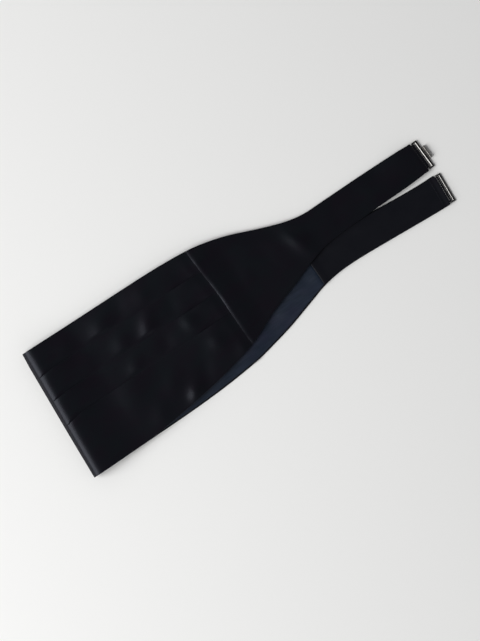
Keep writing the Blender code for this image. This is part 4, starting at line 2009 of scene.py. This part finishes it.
@dataclass
class Studio:
    """A pale floor, a soft sky that is brighter near the horizon, one broad lamp and the camera."""

    view_turn: float = -33.0
    view_middle: tuple[float, float] = (-0.0191, -0.0165)
    view_length: float = 0.5641
    view_height: float = 2.2
    looks_at: float = 0.004
    sensor: float = 36.0
    floor_radius: float = 7.0
    lamp_bearing: float = 204.0
    lamp_lean: float = 51.0
    lamp_distance: float = 2.4
    lamp_size: float = 2.0
    lamp_power: float = 69.0
    gap_below: float = 0.0001
    sky_stops: tuple[tuple[float, Colour], ...] = (
        (0.0, (0.20, 0.20, 0.20)),
        (0.15, (0.45, 0.45, 0.45)),
        (0.35, (0.55, 0.55, 0.555)),
        (0.5, (0.50, 0.50, 0.505)),
        (0.65, (0.32, 0.32, 0.325)),
        (0.8, (0.10, 0.10, 0.102)),
        (1.0, (0.03, 0.03, 0.031)),
    )

    def build(self) -> None:
        """Makes the floor, the light and the camera."""
        self._floor()
        self._sky()
        self._lamp()
        self._camera()
        bpy.context.scene.view_settings.view_transform = "Standard"

    def _floor(self) -> None:
        """Lays the floor just under the garment."""
        working = bmesh.new()
        bmesh.ops.create_circle(working, cap_ends=True, segments=96, radius=self.floor_radius)
        mesh = bpy.data.meshes.new("floor")
        working.to_mesh(mesh)
        working.free()
        mesh.materials.append(FloorFinish().material())
        floor = shown("floor", mesh)
        floor.location.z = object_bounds()[0][2] - self.gap_below
        floor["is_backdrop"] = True

    def _sky(self) -> None:
        """Sets the world's soft light."""
        world = bpy.data.worlds.new("soft_sky")
        world.use_nodes = True
        graph = Graph(world.node_tree)
        direction = graph.add("ShaderNodeTexCoord", output="Generated")
        height = graph.add("ShaderNodeSeparateXYZ", None, {"Vector": direction}, "Z")
        colour = graph.add("ShaderNodeValToRGB", {"stops": self.sky_stops}, {"Fac": height})
        light = graph.add("ShaderNodeBackground", None, {"Color": colour, "Strength": 1.0})
        graph.add("ShaderNodeOutputWorld", None, {"Surface": light})
        bpy.context.scene.world = world

    def _lamp(self) -> None:
        """Hangs the broad lamp up and to the left of the view."""
        bearing = math.radians(self.lamp_bearing + self.view_turn)
        lean = math.radians(self.lamp_lean)
        level = math.sin(lean)
        towards = Vector((math.cos(bearing) * level, math.sin(bearing) * level, math.cos(lean)))
        data = bpy.data.lights.new("broad_lamp", "AREA")
        data.shape = "SQUARE"
        data.size = self.lamp_size
        data.energy = self.lamp_power
        lamp = shown("broad_lamp", data)
        lamp.location = Vector((*self.view_middle, 0.0)) + towards * self.lamp_distance
        lamp.rotation_euler = towards.to_track_quat("Z", "Y").to_euler()
        lamp.visible_camera = False

    def _camera(self) -> None:
        """Sets the camera straight above, turned so that the garment lies slantwise."""
        data = bpy.data.cameras.new("camera")
        data.sensor_fit = "AUTO"
        data.sensor_width = self.sensor
        data.lens = self.sensor * self.view_height / self.view_length
        data.clip_start = 0.01
        data.clip_end = 50.0
        camera = shown("camera", data)
        camera.location = (*self.view_middle, self.view_height + self.looks_at)
        camera.rotation_euler = (0.0, 0.0, math.radians(self.view_turn))
        bpy.context.scene.camera = camera


# The whole garment.


@dataclass
class Cummerbund:
    """The whole folded garment with its metal pieces."""

    finishes: Finishes

    def build(self) -> None:
        """Makes every piece."""
        PleatedFront().build(self.finishes)
        SidePiece("side_satin_upper", "side_upper", UPPER_END, UPPER_LIP).build(self.finishes)
        SidePiece("side_satin_lower", "side_lower", LOWER_END, LOWER_LIP).build(self.finishes)
        Lining().build(self.finishes)
        StrapFacing("facing_ribbon_upper", "facing_upper", UPPER_END).build(self.finishes)
        StrapFacing("facing_ribbon_lower", "facing_lower", LOWER_END).build(self.finishes)
        turn = StrapTurn()
        high = 2 * PLAN.loop_radius - turn.lift(-1.5)
        StitchRow("stitches_upper", UPPER_END, -1.5, high, self.finishes.dark_thread).build()
        StitchRow("stitches_lower", LOWER_END, -0.4, turn.back_height(0.4), self.finishes.pale_glint_thread).build()
        MetalFrame("hook_metal", "hook", UPPER_END, 7.9, True).build(self.finishes)
        eye = MetalFrame("eye_metal", "eye", LOWER_END, 5.2, False, top=EYE_TOP, wear_and_highlight_from=0.78)
        eye.build(self.finishes)


def corners(box: Sequence[Sequence[float]]) -> list[list[float]]:
    """A box's two corners as plain lists."""
    return [[float(value) for value in corner] for corner in box]


def main() -> None:
    """Builds the scene and notes the CAD model's box and the visual model's."""
    logging.basicConfig(level=logging.INFO, format="%(name)s: %(message)s")
    packed = corners(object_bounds())
    Studio().build()
    Cummerbund(Finishes()).build()
    sizes = {"cad": packed, "visual": corners(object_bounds())}
    LOG.info("boxes: %s", sizes)


if __name__ == "__main__":
    main()
